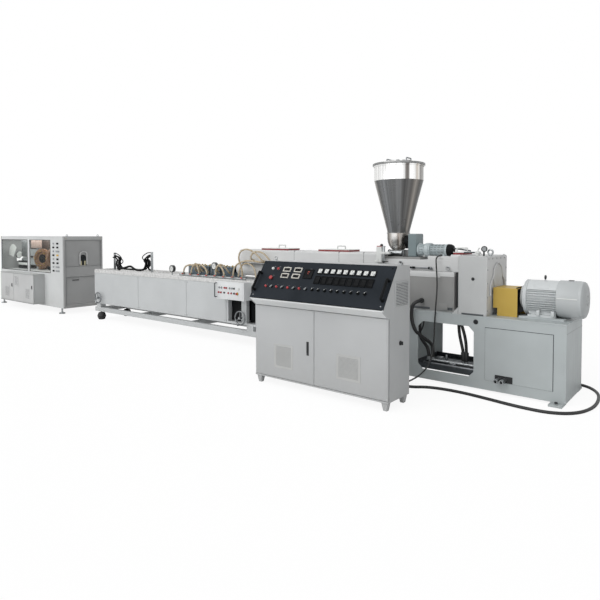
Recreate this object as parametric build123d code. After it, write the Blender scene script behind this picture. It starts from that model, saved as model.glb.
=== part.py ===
from build123d import *
import math
import os

os.makedirs("parts", exist_ok=True)

# All sizes in millimetres. X runs along the line with the drive end at x = 0 and the product
# leaving towards -X, the operator stands on the -Y side, and heights are from the floor.

overrun = 20
run_gap = 0.3
clear_gap = 5
halves = (-1, 1)
mid_share = 0.5

# Extruder base
base_length = 3600
base_width = 660
base_top = 765
base_wall = 16
pad_thick = 20
pad_length = 120
pad_reach = 95
pad_inset = 80
pad_hole = 22
pads_per_side = 3
pad_end_offset = 72
window_offset = 877
window_width = 627
window_pitch = 900
window_count = 3
window_sill = 126
window_head = 652
window_corner = 55
bulkhead_offset = 816
cover_offset = 115
cover_width = 642
cover_bottom = 122
cover_height = 533
cover_thick = 6
cover_notch_offset = 365
cover_notch_width = 177
cover_notch_height = 70
stub_offset = 618
stub_pitch = 56
stub_height = 148
stub_radius = 20
stub_bore = 14
stub_reach = 100
stub_collar = 23
stub_collar_length = 34
tray_offset = 832
tray_length = 740
tray_bottom = 135
tray_height = 57
tray_wall = 8
manifold_radius = 22
manifold_length = 540
manifold_lift = 30
manifold_y = -150
manifold_port = 30
manifold_port_height = 55
manifold_foot = 40
hose_radius = 13
hose_foot_x = -1022
hose_side = 34
hose_bow = 56
hose_top_side = 48
conduit_radius = 21
conduit_x = -1504
conduit_bend = 110
hose_bend = 140
hose_straight = 40
conduit_drop_x = -1405
conduit_gland = 868
conduit_turn = 560
conduit_low = 400
conduit_reach = 132
conduit_side = 20
conduit_slim = 3
second_conduit_x = -1570
second_conduit_drop_x = -1455
second_conduit_bend = 75

# Main motor
rail_height = 20
rail_width = 60
rail_length = 420
rail_spacing = 240
motor_shaft_height = 183
motor_cowl_x = -135
motor_body_length = 278
motor_core_radius = 150
motor_fin_radius = 176
motor_fin_thick = 5
motor_fin_step = 8
motor_fin_from = 38
motor_fin_to = 142
bell_radius = 172
bell_rim = 34
bell_length = 72
bell_nose_radius = 112
foot_width = 62
foot_thick = 24
foot_length = 250
terminal_length = 130
terminal_height = 110
terminal_depth = 80
eye_ring = 15
eye_bar = 7
eye_stem = 14
cowl_radius = 183
cowl_length = 228
cowl_dome = 32
cowl_dome_share = 0.7
shaft_radius = 28
coupling_radius = 68
coupling_length = 130
guard_left = 740
guard_right = 497
guard_half_width = 160
guard_height = 290
guard_thick = 6
guard_notch_width = 42
guard_notch_height = 80

# Gearbox and barrel covers
gearbox_offset = 757
gearbox_length = 302
gearbox_width = 620
gearbox_height = 615
gearbox_edge = 14
relief_thick = 12
relief_radius = 130
relief_lift = 190
top_round = 9
toe_length = 62
toe_height = 70
barrel_cover_inset = 100
barrel_cover_gap = 68
barrel_cover_width = 460
barrel_cover_height = 430
barrel_cover_round = 48
column_width = 161
column_proud = 8
bellows_width = 370
bellows_height = 400
bellows_rib = 12
bellows_depth = 10
bonnet_overhang = 930
bonnet_end_round = 150
bonnet_width = 380
bonnet_height = 190
bonnet_round = 25
notch_left = 2045
notch_right = 1195
notch_depth = 64
lid_offsets = (351, 1407)
feed_lid_start = 1190
lid_length = 500
lid_width = 250
lid_thick = 26
lid_handle_span = 120
lid_handle_rise = 40
lid_handle_bar = 8
lid_handle_share = 0.68
axis_height = 1085
barrel_radius = 92
die_flange_radius = 106
die_flange_thick = 36
die_length = 40
die_radius = 104
die_nose_radius = 62
die_nose_length = 40

# Hopper and feeder
hopper_x = -1932
hopper_wall = 6
bowl_radius = 114
bowl_bottom = 1414
bowl_top = 1626
cone_foot_radius = 128
neck_flange = 14
neck_flange_height = 20
cone_top = 2243
band_radius = 290
band_top = 2420
band_lip = 8
band_lip_height = 16
lid_rim_radius = 304
lid_rim_height = 26
lid_dome = 34
lid_dome_share = 0.25
lid_grip_x = 130
lid_grip_length = 110
lid_grip_height = 42
lid_grip_bar = 9
plate_left = 2032
plate_right = 1565
plate_half_width = 165
saddle_half_length = 88
saddle_half_width = 92
saddle_height = 75
throat_radius = 55
feeder_y = -60
feeder_gear_left = 1723
feeder_gear_length = 97
feeder_gear_width = 180
feeder_gear_top = 1612
feeder_shaft_height = 1530
feeder_shaft_radius = 58
feeder_gear_round = 14
feeder_motor_height = 1427
feeder_flange_radius = 80
feeder_neck_radius = 62
feeder_neck_length = 83
feeder_flange_length = 69
feeder_motor_radius = 66
feeder_motor_end = 1203
feeder_cap_length = 88
feeder_box_x = -1335
feeder_box_size = 70
feeder_box_depth = 50
feeder_box_height = 42
feeder_box_low = 1351
pot_x = -2165
pot_radius = 30
pot_foot = 1230
pot_top = 1460
pot_bracket = 44
pot_pipe_x = -2098
pot_pipe_radius = 17
pot_pipe_top = 1455
pot_link_height = 1384
pot_link_radius = 13

# Control cabinet
cabinet_right = -1198
cabinet_width = 1639
cabinet_front = -1525
cabinet_back_y = -1120
cabinet_height = 1314
cabinet_sheet = 15
cabinet_floor_height = 80
door_thick = 20
door_top = 843
door_split_share = 0.49
pin_radius = 4
pin_length = 20
chin_reach = 88
chin_bottom = 915
console_foot = 928
console_depth = 255
panel_thick = 8
panel_margin = 6
handle_bar = 11
handle_rise = 42
handle_low_share = 0.2
handle_high_share = 0.64
handle_inset = 32
foot_top_size = 120
foot_base_size = 78
foot_corner_inset = 70
bezel_width = 118
bezel_height = 60
bezel_depth = 12
bezel_x_shares = (0.227, 0.318)
bezel_y_shares = (0.611, 0.773)
display_width = 112
display_height = 105
display_share_x = 0.409
display_share_y = 0.69
meter_width = 62
meter_height = 42
meter_share_y = 0.783
controller_height = 88
controller_width = 66
controller_share_y = 0.583
column_shares = (0.493, 0.542, 0.589, 0.635, 0.680, 0.727, 0.775, 0.821, 0.868)
knob_shares = (0.106, 0.153, 0.197, 0.244, 0.291, 0.338, 0.384, 0.433, 0.484, 0.530, 0.577,
               0.624, 0.669, 0.716, 0.763, 0.811, 0.857)
knob_share_y = 0.312
knob_radius = 17
knob_depth = 24
lamp_shares = (0.106, 0.151)
lamp_share_y = 0.78
stop_share_x = 0.121
stop_share_y = 0.558
stop_radius = 26

# Sizing table
table_gap = 400
table_length = 4262
table_half_width = 303
table_bottom = 300
table_body_top = 880
table_top_height = 945
table_skin = 6
panel_shares = (0, 0.3894, 0.7481, 1)
panel_end_offset = 610
panel_gap = 8
panel_edge = 6
bay_left_offset = 570
bay_right_offset = 14
bay_floor = 330
bay_head = 850
bay_back_wall = 60
post_offset = 294
post_width = 100
post_depth = 60
rim_width = 45
trough_depth = 40
beam_width = 60
beam_bottom = 150
beam_height = 80
cross_width = 80
cross_shares = (0.03, 0.34, 0.66, 0.97)
jack_width = 110
jack_length = 130
foot_shares = (0.0415, 0.95)
mount_radius = 77
mount_height = 132
mount_stem = 20
mount_flare_share = 0.68
wheel_left_offset = 219
wheel_left_z = 418
wheel_right_offset = 262
wheel_right_z = 408
wheel_shaft = 9
wheel_collar = 17
wheel_collar_depth = 14
wheel_stand_off = 40
wheel_hub = 22
wheel_hub_length = 44
wheel_ring = 97
wheel_bar = 10
wheel_round_share = 0.7
wheel_spoke = 7
wheel_spokes = 3
wheel_knob = 9
wheel_knob_length = 55
control_left_offset = 660
control_right_offset = 87
control_bottom = 672
control_top = 928
control_depth = 150
calibrator_offset = 1700
calibrator_length = 240
calibrator_pitch = 262
calibrator_count = 4
calibrator_half_width = 120
calibrator_top = 1105
bore_radius = 30
bore_spacing = 110
pipe_left_offset = 1720
pipe_right_offset = 230
pipe_y = -278
pipe_height = 963
pipe_radius = 16
pipe_leg = 22
pipe_legs = 4
valve_count = 8
valve_offset = 300
valve_pitch = 190
valve_size = 34
valve_height = 36
gauge_offsets = (2000, 960)
gauge_heights = (1040, 1120)
gauge_radius = 50
gauge_depth = 30
gauge_stem = 9
gauge_foot = 60
plate_shares = (0.0802, 0.3618)
plate_thick = 12
plate_reach = 200
plate_inner = 110
plate_top = 1254
plate_hole = 62
plate_ring = 125
loop_radius = 11
loop_tops = (1140, 1150, 1118, 1135, 1146, 1124)
loop_leans = (-130, -20, -100, -130, -150, -50)
loop_crown_shares = (0.15, 0.85)
loop_foot_height = 1020
loop_foot_reach = 52
long_loops = (
    ((0, 1110), (-80, 1230), (-60, 1350), (60, 1400), (200, 1375), (330, 1290), (400, 1225)),
    ((0, 1080), (60, 1160), (180, 1215), (330, 1232), (465, 1226), (560, 1214)))
bonnet_loop = ((437, 1250), (470, 1330), (560, 1370), (690, 1350), (770, 1290), (825, 1235))
loop_bend = 55
short_loop_bend = 38

# Haul-off and cutter
haul_gap = 968
haul_length = 2990
haul_front = -418
haul_back = 430
haul_bottom = 110
haul_top = 1567
haul_skin = 20
haul_end_skin = 40
haul_deck = 805
window_top = 1495
pane_offsets = ((55, 1385), (1480, 2435))
pane_thick = 6
pane_set_back = 6
arch_half = 79
arch_sill = 970
arch_top = 1190
recess_depth = 16
recess_edge = 36
recess_bottom = 950
lower_recess_bottom = 177
lower_recess_top = 745
switch_left_offset = 570
switch_right_offset = 2164
switch_front = -659
switch_bottom = 150
switch_top = 778
switch_wall = 15
switch_split_offset = 1230
saw_offset = 1970
saw_radius = 270
saw_bore = 190
saw_width = 90
saw_foot = 340
saw_height = 1100
track_left_offset = 270
track_right_offset = 1170
track_half_width = 70
track_height = 150
track_gap = 60
track_leg = 80
roller_radius = 14
roller_spacing = 84
roller_top = 1060
level_pad_radius = 58
level_pad_height = 22
level_stem_radius = 16
level_inset = 110

# Cables lying on the floor and hanging from the feeder
floor_cable_radius = 15
floor_cable_route = (
    (-1500, -1120, 130), (-1500, -1000, 130), (-1455, -850, 60), (-1388, -700, 15),
    (-1250, -580, 15), (-960, -545, 15), (-660, -590, 15), (-340, -655, 15), (-60, -660, 15),
    (130, -530, 15), (215, -280, 15), (215, 20, 15), (160, 310, 15), (0, 520, 15),
    (-330, 530, 15), (-620, 430, 60), (-790, 345, 112))
feeder_cable_radius = 8
feeder_cable_route = (
    (-1335, -110, 1372), (-1335, -252, 1372), (-1312, -288, 1250),
    (-1301, -294, 1143), (-1291, -308, 1024), (-1288, -345, 848),
    (-1296, -356, 650), (-1293, -372, 470), (-1287, -430, 300), (-1279, -560, 209),
    (-1304, -700, 145), (-1344, -880, 112), (-1390, -1030, 106), (-1390, -1120, 106))


def block(x0, x1, y0, y1, z0, z1):
    """Box between two places on each axis."""
    return Pos((x0 + x1) / 2, (y0 + y1) / 2, (z0 + z1) / 2) * Box(x1 - x0, y1 - y0, z1 - z0)


def rod_x(x0, x1, y, z, radius):
    """Round bar along X."""
    return Pos((x0 + x1) / 2, y, z) * Rot(0, 90, 0) * Cylinder(radius, x1 - x0)


def rod_y(y0, y1, x, z, radius):
    """Round bar along Y."""
    return Pos(x, (y0 + y1) / 2, z) * Rot(90, 0, 0) * Cylinder(radius, y1 - y0)


def rod_z(z0, z1, x, y, radius):
    """Round bar along Z."""
    return Pos(x, y, (z0 + z1) / 2) * Cylinder(radius, z1 - z0)


def prism_x(points, x0, x1):
    """Outline in (y, z) pulled from x0 to x1."""
    face = Plane.YZ.offset(x0) * make_face(Polyline(*points, close=True))
    return extrude(face, amount=x1 - x0, dir=(1, 0, 0))


def tube(path, radius):
    """Round section swept along a wire."""
    section = (path ^ 0) * Circle(radius)
    return sweep(section, path=path)


def bent_bar(points, bend, radius):
    """Round bar of straight runs with one bend radius, square to its seats at both ends."""
    return tube(FilletPolyline(*points, radius=bend), radius)


def both_sides(outer, thick):
    """Pairs of (low, high) y places for a wall on each side of the axis."""
    return ((-outer, thick - outer), (outer - thick, outer))


# Heights and places that follow from the sizes above
half_base = base_width / 2
deck_bottom = base_top - base_wall
motor_axis = base_top + rail_height + motor_shaft_height
bell_x = motor_cowl_x - motor_body_length
gearbox_left = gearbox_offset + gearbox_length
gearbox_top = base_top + gearbox_height
barrel_cover_right = gearbox_left + barrel_cover_gap
barrel_cover_end = base_length - barrel_cover_inset
bonnet_end = base_length + bonnet_overhang
barrel_cover_top = base_top + barrel_cover_height
bonnet_top = barrel_cover_top + bonnet_height
plate_bottom = bonnet_top - notch_depth
feeder_plate_top = feeder_motor_height - feeder_flange_radius - run_gap
cabinet_left = cabinet_right - cabinet_width
door_seat = cabinet_front + door_thick + clear_gap
frame_bottom = cabinet_floor_height + cabinet_sheet
door_bottom = frame_bottom + clear_gap
chin_underside = door_top + clear_gap
chin_front = cabinet_front - chin_reach
console_head = chin_front + console_depth
panel_run = math.hypot(console_depth, cabinet_height - console_foot)
panel_tilt = math.degrees(math.atan2(cabinet_height - console_foot, console_depth))
table_right = -base_length - table_gap
table_left = table_right - table_length
table_face = table_half_width + table_skin
trough_floor = table_top_height - trough_depth
bay_left = table_right - bay_left_offset
bay_right = table_right - bay_right_offset
wheel_left_x = table_left + wheel_left_offset
wheel_right_x = table_right - wheel_right_offset
calibrator_left = table_right - calibrator_offset
pipe_left = table_right - pipe_left_offset
pipe_right = table_right - pipe_right_offset
haul_right = table_left - haul_gap
haul_left = haul_right - haul_length
switch_left = haul_left + switch_left_offset
switch_right = haul_left + switch_right_offset
switch_split = haul_left + switch_split_offset
saw_x = haul_left + saw_offset
switch_door_back = switch_front + door_thick + clear_gap


def base_side_plates():
    plates = []
    for low, high in both_sides(half_base, base_wall):
        plate = block(-base_length, 0, low, high, pad_thick, deck_bottom)
        for number in range(window_count):
            right = -window_offset - number * window_pitch
            hole = block(right - window_width, right, low - overrun, high + overrun,
                         window_sill, window_head)
            plate -= chamfer(hole.edges().filter_by(Axis.Y), window_corner)
        plates.append(plate)
    return plates


def base_deck():
    deck = block(-base_length, 0, -half_base, half_base, deck_bottom, base_top)
    rail_x = motor_cowl_x - motor_body_length / 2
    for side in halves:
        y = side * rail_spacing / 2
        deck += block(rail_x - rail_length / 2, rail_x + rail_length / 2, y - rail_width / 2,
                      y + rail_width / 2, base_top, base_top + rail_height)
    return [deck]


def base_cross_plates():
    inside = half_base - base_wall
    rights = (0, -bulkhead_offset, base_wall - base_length)
    return [block(x - base_wall, x, -inside, inside, pad_thick, deck_bottom) for x in rights]


def base_floor_tray():
    inside = half_base - base_wall
    left = -tray_offset - tray_length
    tray = block(left, -tray_offset, -inside, inside, tray_bottom, tray_bottom + tray_height)
    tray -= block(left + tray_wall, -tray_offset - tray_wall, tray_wall - inside,
                  inside - tray_wall, tray_bottom + tray_wall, tray_bottom + tray_height + overrun)
    return [tray]


def base_foot_pads():
    pads = []
    pitch = (base_length - 2 * pad_end_offset) / (pads_per_side - 1)
    for number in range(pads_per_side):
        x = -pad_end_offset - number * pitch
        for side in halves:
            edges = sorted((side * (half_base - pad_inset), side * (half_base + pad_reach)))
            pad = block(x - pad_length / 2, x + pad_length / 2, *edges, 0, pad_thick)
            pad -= rod_z(-overrun, pad_thick + overrun, x, side * (half_base + pad_reach / 2),
                         pad_hole / 2)
            pads.append(pad)
    return pads


def access_covers():
    covers = []
    right = -cover_offset
    notch_right_x = -cover_offset - cover_notch_offset
    for low, high in both_sides(half_base + cover_thick, cover_thick):
        cover = block(right - cover_width, right, low, high, cover_bottom,
                      cover_bottom + cover_height)
        cover -= block(notch_right_x - cover_notch_width, notch_right_x, low - overrun,
                       high + overrun, cover_bottom - overrun, cover_bottom + cover_notch_height)
        covers.append(cover)
    return covers


def water_pipework():
    pieces = []
    for number in range(2):
        x = -stub_offset - (number - 1) * stub_pitch
        end = -half_base - stub_reach
        stub = rod_y(end, -half_base, x, stub_height, stub_radius)
        stub += rod_y(end, end + stub_collar_length, x, stub_height, stub_collar)
        stub -= rod_y(end - overrun, -half_base - cover_thick, x, stub_height, stub_bore)
        pieces.append(stub)
    floor = tray_bottom + tray_wall
    middle = -tray_offset - tray_length / 2
    left = middle - manifold_length / 2
    right = middle + manifold_length / 2
    height = floor + manifold_lift + manifold_radius
    manifold = rod_x(left, right, manifold_y, height, manifold_radius)
    for x in (left + manifold_foot, right - manifold_foot):
        manifold += block(x - manifold_foot / 2, x + manifold_foot / 2,
                          manifold_y - manifold_foot / 2, manifold_y + manifold_foot / 2,
                          floor, height)
    for x in (second_conduit_drop_x, conduit_drop_x, hose_foot_x, hose_foot_x - hose_side):
        top = height + manifold_port_height
        manifold += rod_z(height, top, x, manifold_y, manifold_port / 2)
    pieces.append(manifold)
    return pieces


def window_hoses():
    floor = tray_bottom + tray_wall
    port_top = floor + manifold_lift + manifold_radius + manifold_port_height
    hoses = []
    for number in range(2):
        foot = hose_foot_x - number * hose_side
        head = hose_foot_x - hose_bow - number * hose_top_side
        route = ((foot, manifold_y, port_top), (foot, manifold_y, port_top + hose_straight),
                 (head, manifold_y, deck_bottom - hose_straight), (head, manifold_y, deck_bottom))
        hoses.append(bent_bar(route, hose_bend, hose_radius))
    gland_y = -barrel_cover_width / 2
    reach = gland_y - conduit_reach
    route = ((conduit_x, gland_y, conduit_gland), (conduit_x, reach, conduit_gland),
             (conduit_x + conduit_side, reach, conduit_turn),
             (conduit_drop_x, manifold_y, conduit_low), (conduit_drop_x, manifold_y, port_top))
    hoses.append(bent_bar(route, conduit_bend, conduit_radius))
    drop = second_conduit_drop_x
    route = ((second_conduit_x, manifold_y, deck_bottom), (second_conduit_x, manifold_y, conduit_low),
             (drop, manifold_y, conduit_low - (drop - second_conduit_x)),
             (drop, manifold_y, port_top))
    hoses.append(bent_bar(route, second_conduit_bend, conduit_radius - conduit_slim))
    return hoses


def motor_frame():
    mid_x = motor_cowl_x - motor_body_length / 2
    frame = rod_x(bell_x, motor_cowl_x, 0, motor_axis, motor_core_radius)
    fin_depth = motor_fin_radius - motor_core_radius + overrun
    for angle in range(motor_fin_from, motor_fin_to + 1, motor_fin_step):
        for side in halves:
            frame += (Pos(mid_x, 0, motor_axis) * Rot(side * angle, 0, 0)
                      * Pos(0, 0, motor_fin_radius - fin_depth / 2)
                      * Box(motor_body_length, motor_fin_thick, fin_depth))
    top = 2 * motor_fin_radius
    spread = top * math.tan(math.radians(motor_fin_from - motor_fin_step / 2))
    wedge = prism_x(((0, motor_axis), (spread, motor_axis + top), (-spread, motor_axis + top)),
                    bell_x, motor_cowl_x)
    frame += rod_x(bell_x, motor_cowl_x, 0, motor_axis, motor_fin_radius) & wedge
    rail_top = base_top + rail_height
    for side in halves:
        inner = side * (rail_spacing - foot_width) / 2
        outer = side * (rail_spacing + foot_width) / 2
        low, high = sorted((inner, outer))
        frame += block(mid_x - foot_length / 2, mid_x + foot_length / 2, low, high, rail_top,
                       rail_top + foot_thick)
        low, high = sorted((inner, inner + side * foot_thick))
        frame += block(mid_x - foot_length / 2, mid_x + foot_length / 2, low, high, rail_top,
                       motor_axis - motor_core_radius / 2)
    frame += rod_x(bell_x - bell_rim, bell_x, 0, motor_axis, bell_radius)
    nose = bell_length - bell_rim
    frame += (Pos(bell_x - bell_rim - nose / 2, 0, motor_axis) * Rot(0, -90, 0)
              * Cone(bell_radius - bell_rim, bell_nose_radius, nose))
    frame += block(mid_x - terminal_length / 2, mid_x + terminal_length / 2, 0,
                   motor_fin_radius + terminal_depth, motor_axis - terminal_height / 2,
                   motor_axis + terminal_height / 2)
    eye_base = motor_axis + motor_fin_radius
    frame += rod_z(eye_base - overrun, eye_base + eye_stem, mid_x, 0, eye_bar)
    frame += (Pos(mid_x, 0, eye_base + eye_stem + eye_ring) * Rot(0, 90, 0)
              * Torus(eye_ring, eye_bar))
    return [frame]


def motor_fan_cowl():
    end = motor_cowl_x + cowl_length
    cowl = rod_x(motor_cowl_x, end, 0, motor_axis, cowl_radius)
    cowl += (Pos(end + cowl_dome / 2, 0, motor_axis) * Rot(0, 90, 0)
             * Cone(cowl_radius, cowl_radius * cowl_dome_share, cowl_dome))
    return [cowl]


def drive_coupling():
    left = -gearbox_offset + relief_thick
    right = bell_x - bell_length
    middle = (left + right) / 2
    coupling = rod_x(left, right, 0, motor_axis, shaft_radius)
    coupling += rod_x(middle - coupling_length / 2, middle + coupling_length / 2, 0, motor_axis,
                      coupling_radius)
    return [coupling]


def coupling_guard():
    top = base_top + guard_height
    guard = block(-guard_left, -guard_right, -guard_half_width, guard_half_width, base_top, top)
    inside = guard_half_width - guard_thick
    guard -= block(-guard_left - overrun, overrun - guard_right, -inside, inside,
                   base_top - overrun, top - guard_thick)
    guard -= block(-guard_left - overrun, guard_notch_width - guard_left,
                   -guard_half_width - overrun, guard_half_width + overrun, base_top - overrun,
                   base_top + guard_notch_height)
    return [guard]


def gearbox_housing():
    half = gearbox_width / 2
    case = block(-gearbox_left, -gearbox_offset, -half, half, base_top, gearbox_top)
    case = fillet(case.edges().filter_by(Axis.Z), gearbox_edge)
    case = fillet(case.faces().sort_by(Axis.Z)[-1].edges(), top_round)
    toe = ((-gearbox_left, base_top), (-gearbox_left - toe_length, base_top),
           (-gearbox_left, base_top + toe_height))
    for low, high in both_sides(half, half - bellows_width / 2):
        face = Plane.XZ.offset(-low) * make_face(Polyline(*toe, close=True))
        case += extrude(face, amount=high - low, dir=(0, 1, 0))
    for lift in (0, relief_lift):
        case += rod_x(-gearbox_offset, relief_thick - gearbox_offset, 0, motor_axis + lift,
                      relief_radius)
    return [case]


def barrel_cover():
    half = barrel_cover_width / 2
    cover = block(-barrel_cover_end, -barrel_cover_right, -half, half, base_top, barrel_cover_top)
    top_edges = cover.faces().sort_by(Axis.Z)[-1].edges().filter_by(Axis.X)
    cover = fillet(top_edges, barrel_cover_round)
    low = base_top + barrel_cover_round
    for side in halves:
        edges = sorted((side * (half - overrun), side * (half + column_proud)))
        cover += block(-barrel_cover_right - column_width, -barrel_cover_right, *edges, low,
                       barrel_cover_top - barrel_cover_round)
    return [cover]


def cover_bellows():
    half = bellows_width / 2
    core = block(-barrel_cover_right, -gearbox_left, bellows_depth - half, half - bellows_depth,
                 base_top, base_top + bellows_height - bellows_depth)
    count = int(barrel_cover_gap / (2 * bellows_rib))
    for number in range(count):
        x = -barrel_cover_right + (2 * number + 1) * barrel_cover_gap / (2 * count)
        core += block(x - bellows_rib / 2, x + bellows_rib / 2, -half, half, base_top,
                      base_top + bellows_height)
    return [core]


def barrel_bonnet():
    half = bonnet_width / 2
    bonnet = block(-bonnet_end, -gearbox_left, -half, half, barrel_cover_top, bonnet_top)
    bonnet = fillet(bonnet.faces().sort_by(Axis.X)[0].edges().filter_by(Axis.Z), bonnet_end_round)
    bonnet = fillet(bonnet.faces().sort_by(Axis.Z)[-1].edges().filter_by(Axis.X), bonnet_round)
    bonnet -= block(-notch_left, -notch_right, -half - overrun, half + overrun, plate_bottom,
                    bonnet_top + overrun)
    return [bonnet]


def bonnet_vent_lids():
    lids = []
    for start in [bonnet_end - offset for offset in lid_offsets] + [feed_lid_start]:
        right = min(lid_length - start, -gearbox_left - lid_handle_bar)
        top = bonnet_top + lid_thick
        lid = block(-start, right, -lid_width / 2, lid_width / 2, bonnet_top, top)
        x = -start + (right + start) * lid_handle_share
        span = lid_handle_span / 2
        y = lid_handle_span / 2 - lid_width / 2
        route = ((x - span, y, top), (x - span, y, top + lid_handle_rise),
                 (x + span, y, top + lid_handle_rise), (x + span, y, top))
        lid += bent_bar(route, lid_handle_rise / 2, lid_handle_bar)
        lids.append(lid)
    return lids


def die_head():
    start = -barrel_cover_end
    flange = -bonnet_end - die_flange_thick
    nose = flange - die_length
    head = rod_x(flange, start, 0, axis_height, barrel_radius)
    head += rod_x(flange, flange + die_flange_thick, 0, axis_height, die_flange_radius)
    head += rod_x(nose, flange, 0, axis_height, die_radius)
    head += rod_x(nose - die_nose_length, nose, 0, axis_height, die_nose_radius)
    return [head]


def vessel(inset):
    """Hopper outline, drawn in by the inset, as a filled body."""
    ball = bowl_bottom + bowl_radius
    body = Pos(0, 0, ball) * Sphere(bowl_radius - inset)
    body += rod_z(ball, bowl_top, 0, 0, bowl_radius - inset)
    body += Pos(0, 0, (bowl_top + cone_top) / 2) * Cone(
        cone_foot_radius - inset, band_radius - inset, cone_top - bowl_top)
    body += rod_z(cone_top, band_top, 0, 0, band_radius - inset)
    return body


def hopper_shell():
    shell = vessel(0)
    shell += rod_z(band_top - band_lip_height, band_top, 0, 0, band_radius + band_lip)
    shell += rod_z(bowl_top - neck_flange_height, bowl_top, 0, 0, cone_foot_radius + neck_flange)
    shell -= vessel(hopper_wall)
    shell -= rod_z(band_top - hopper_wall, band_top + overrun, 0, 0, band_radius - hopper_wall)
    return [Pos(hopper_x, 0, 0) * shell]


def hopper_lid():
    rim_top = band_top + lid_rim_height
    lid = rod_z(band_top, rim_top, 0, 0, lid_rim_radius)
    lid += Pos(0, 0, rim_top + lid_dome / 2) * Cone(
        lid_rim_radius, lid_rim_radius * lid_dome_share, lid_dome)
    for side in halves:
        x = side * lid_grip_x
        span = lid_grip_length / 2
        high = rim_top + lid_dome / 2 + lid_grip_height
        route = ((x, -span, rim_top), (x, -span, high), (x, span, high), (x, span, rim_top))
        lid += bent_bar(route, lid_grip_height / 2, lid_grip_bar)
    return [Pos(hopper_x, 0, 0) * lid]


def feeder_trough():
    plate = block(-plate_left, -plate_right, -plate_half_width, plate_half_width, plate_bottom,
                  feeder_plate_top)
    top = feeder_plate_top + saddle_height
    plate += block(hopper_x - saddle_half_length, hopper_x + saddle_half_length,
                   -saddle_half_width, saddle_half_width, feeder_plate_top, top)
    plate -= Pos(hopper_x, 0, bowl_bottom + bowl_radius) * Sphere(bowl_radius + run_gap)
    plate -= rod_z(plate_bottom - overrun, top, hopper_x, 0, throat_radius)
    return [plate]


def feeder_gearbox():
    right = feeder_gear_length - feeder_gear_left
    half = feeder_gear_width / 2
    case = block(-feeder_gear_left, right, feeder_y - half, feeder_y + half, feeder_plate_top,
                 feeder_gear_top)
    case = fillet(case.edges().filter_by(Axis.X), feeder_gear_round)
    bowl_side = hopper_x + bowl_radius + run_gap
    boss = rod_x(hopper_x, -feeder_gear_left, 0, feeder_shaft_height, feeder_shaft_radius)
    boss -= rod_z(bowl_bottom - overrun, bowl_top + overrun, hopper_x, 0, bowl_side - hopper_x)
    return [case + boss]


def feeder_motor():
    gear_face = feeder_gear_length - feeder_gear_left
    flange = gear_face + feeder_neck_length
    flange_end = flange + feeder_flange_length
    cap = -feeder_motor_end - feeder_cap_length
    height = feeder_motor_height
    motor = rod_x(gear_face, flange, feeder_y, height, feeder_neck_radius)
    motor += rod_x(flange, flange_end, feeder_y, height, feeder_flange_radius)
    motor += rod_x(flange_end, cap, feeder_y, height, feeder_motor_radius)
    motor += rod_x(cap, -feeder_motor_end, feeder_y, height, feeder_motor_radius + band_lip)
    motor += block(feeder_box_x - feeder_box_size / 2, feeder_box_x + feeder_box_size / 2,
                   feeder_y - feeder_box_depth, feeder_y, feeder_box_low,
                   feeder_box_low + feeder_box_height)
    return [motor]


def vacuum_pipe():
    face = -bonnet_width / 2
    y = face - pot_bracket
    pot = rod_z(pot_foot, pot_top, pot_x, y, pot_radius)
    pot += block(pot_x - pot_bracket / 2, pot_x + pot_bracket / 2, y, face, pot_foot,
                 pot_foot + pot_bracket)
    pot += rod_z(pot_foot + pot_bracket, pot_pipe_top, pot_pipe_x, y, pot_pipe_radius)
    pot += rod_x(pot_x, hopper_x + pot_link_radius, y, pot_link_height, pot_link_radius)
    pot += rod_y(y - pot_link_radius, -saddle_half_width, hopper_x, pot_link_height,
                 pot_link_radius)
    return [pot]


def cabinet_profile():
    """Side outline of the cabinet in (y, z), doors not included."""
    return ((door_seat, frame_bottom), (door_seat, chin_underside),
            (cabinet_front, chin_underside), (chin_front, chin_bottom),
            (chin_front, console_foot), (console_head, cabinet_height),
            (cabinet_back_y, cabinet_height), (cabinet_back_y, frame_bottom))


def hinge_axis(edge, outward):
    """Pin place inside a door's rounded edge."""
    return edge - outward * door_thick / 2


def cabinet_sides():
    sides = []
    pin_y = cabinet_front + door_thick / 2
    for edge, outward in ((cabinet_left, -1), (cabinet_right, 1)):
        low, high = sorted((edge, edge - outward * cabinet_sheet))
        side = prism_x(cabinet_profile(), low, high)
        side += rod_z(door_top - pin_length, chin_underside + clear_gap,
                      hinge_axis(edge, outward), pin_y, pin_radius)
        sides.append(side)
    return sides


def cabinet_back():
    return [block(cabinet_left + cabinet_sheet, cabinet_right - cabinet_sheet,
                  cabinet_back_y - cabinet_sheet, cabinet_back_y, frame_bottom,
                  cabinet_height - cabinet_sheet)]


def cabinet_top_and_floor():
    top = block(cabinet_left + cabinet_sheet, cabinet_right - cabinet_sheet, console_head,
                cabinet_back_y, cabinet_height - cabinet_sheet, cabinet_height)
    floor = block(cabinet_left, cabinet_right, cabinet_front, cabinet_back_y,
                  cabinet_floor_height, frame_bottom)
    pin_y = cabinet_front + door_thick / 2
    for edge, outward in ((cabinet_left, -1), (cabinet_right, 1)):
        floor += rod_z(frame_bottom, door_bottom + pin_length, hinge_axis(edge, outward), pin_y,
                       pin_radius)
    return [top, floor]


def cabinet_front_frame():
    outline = ((cabinet_front, chin_underside), (chin_front, chin_bottom),
               (chin_front, console_foot), (chin_front + cabinet_sheet, console_foot),
               (door_seat, chin_underside + cabinet_sheet),
               (door_seat + cabinet_sheet, chin_underside + cabinet_sheet),
               (door_seat + cabinet_sheet, chin_underside))
    return [prism_x(outline, cabinet_left + cabinet_sheet, cabinet_right - cabinet_sheet)]


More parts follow.
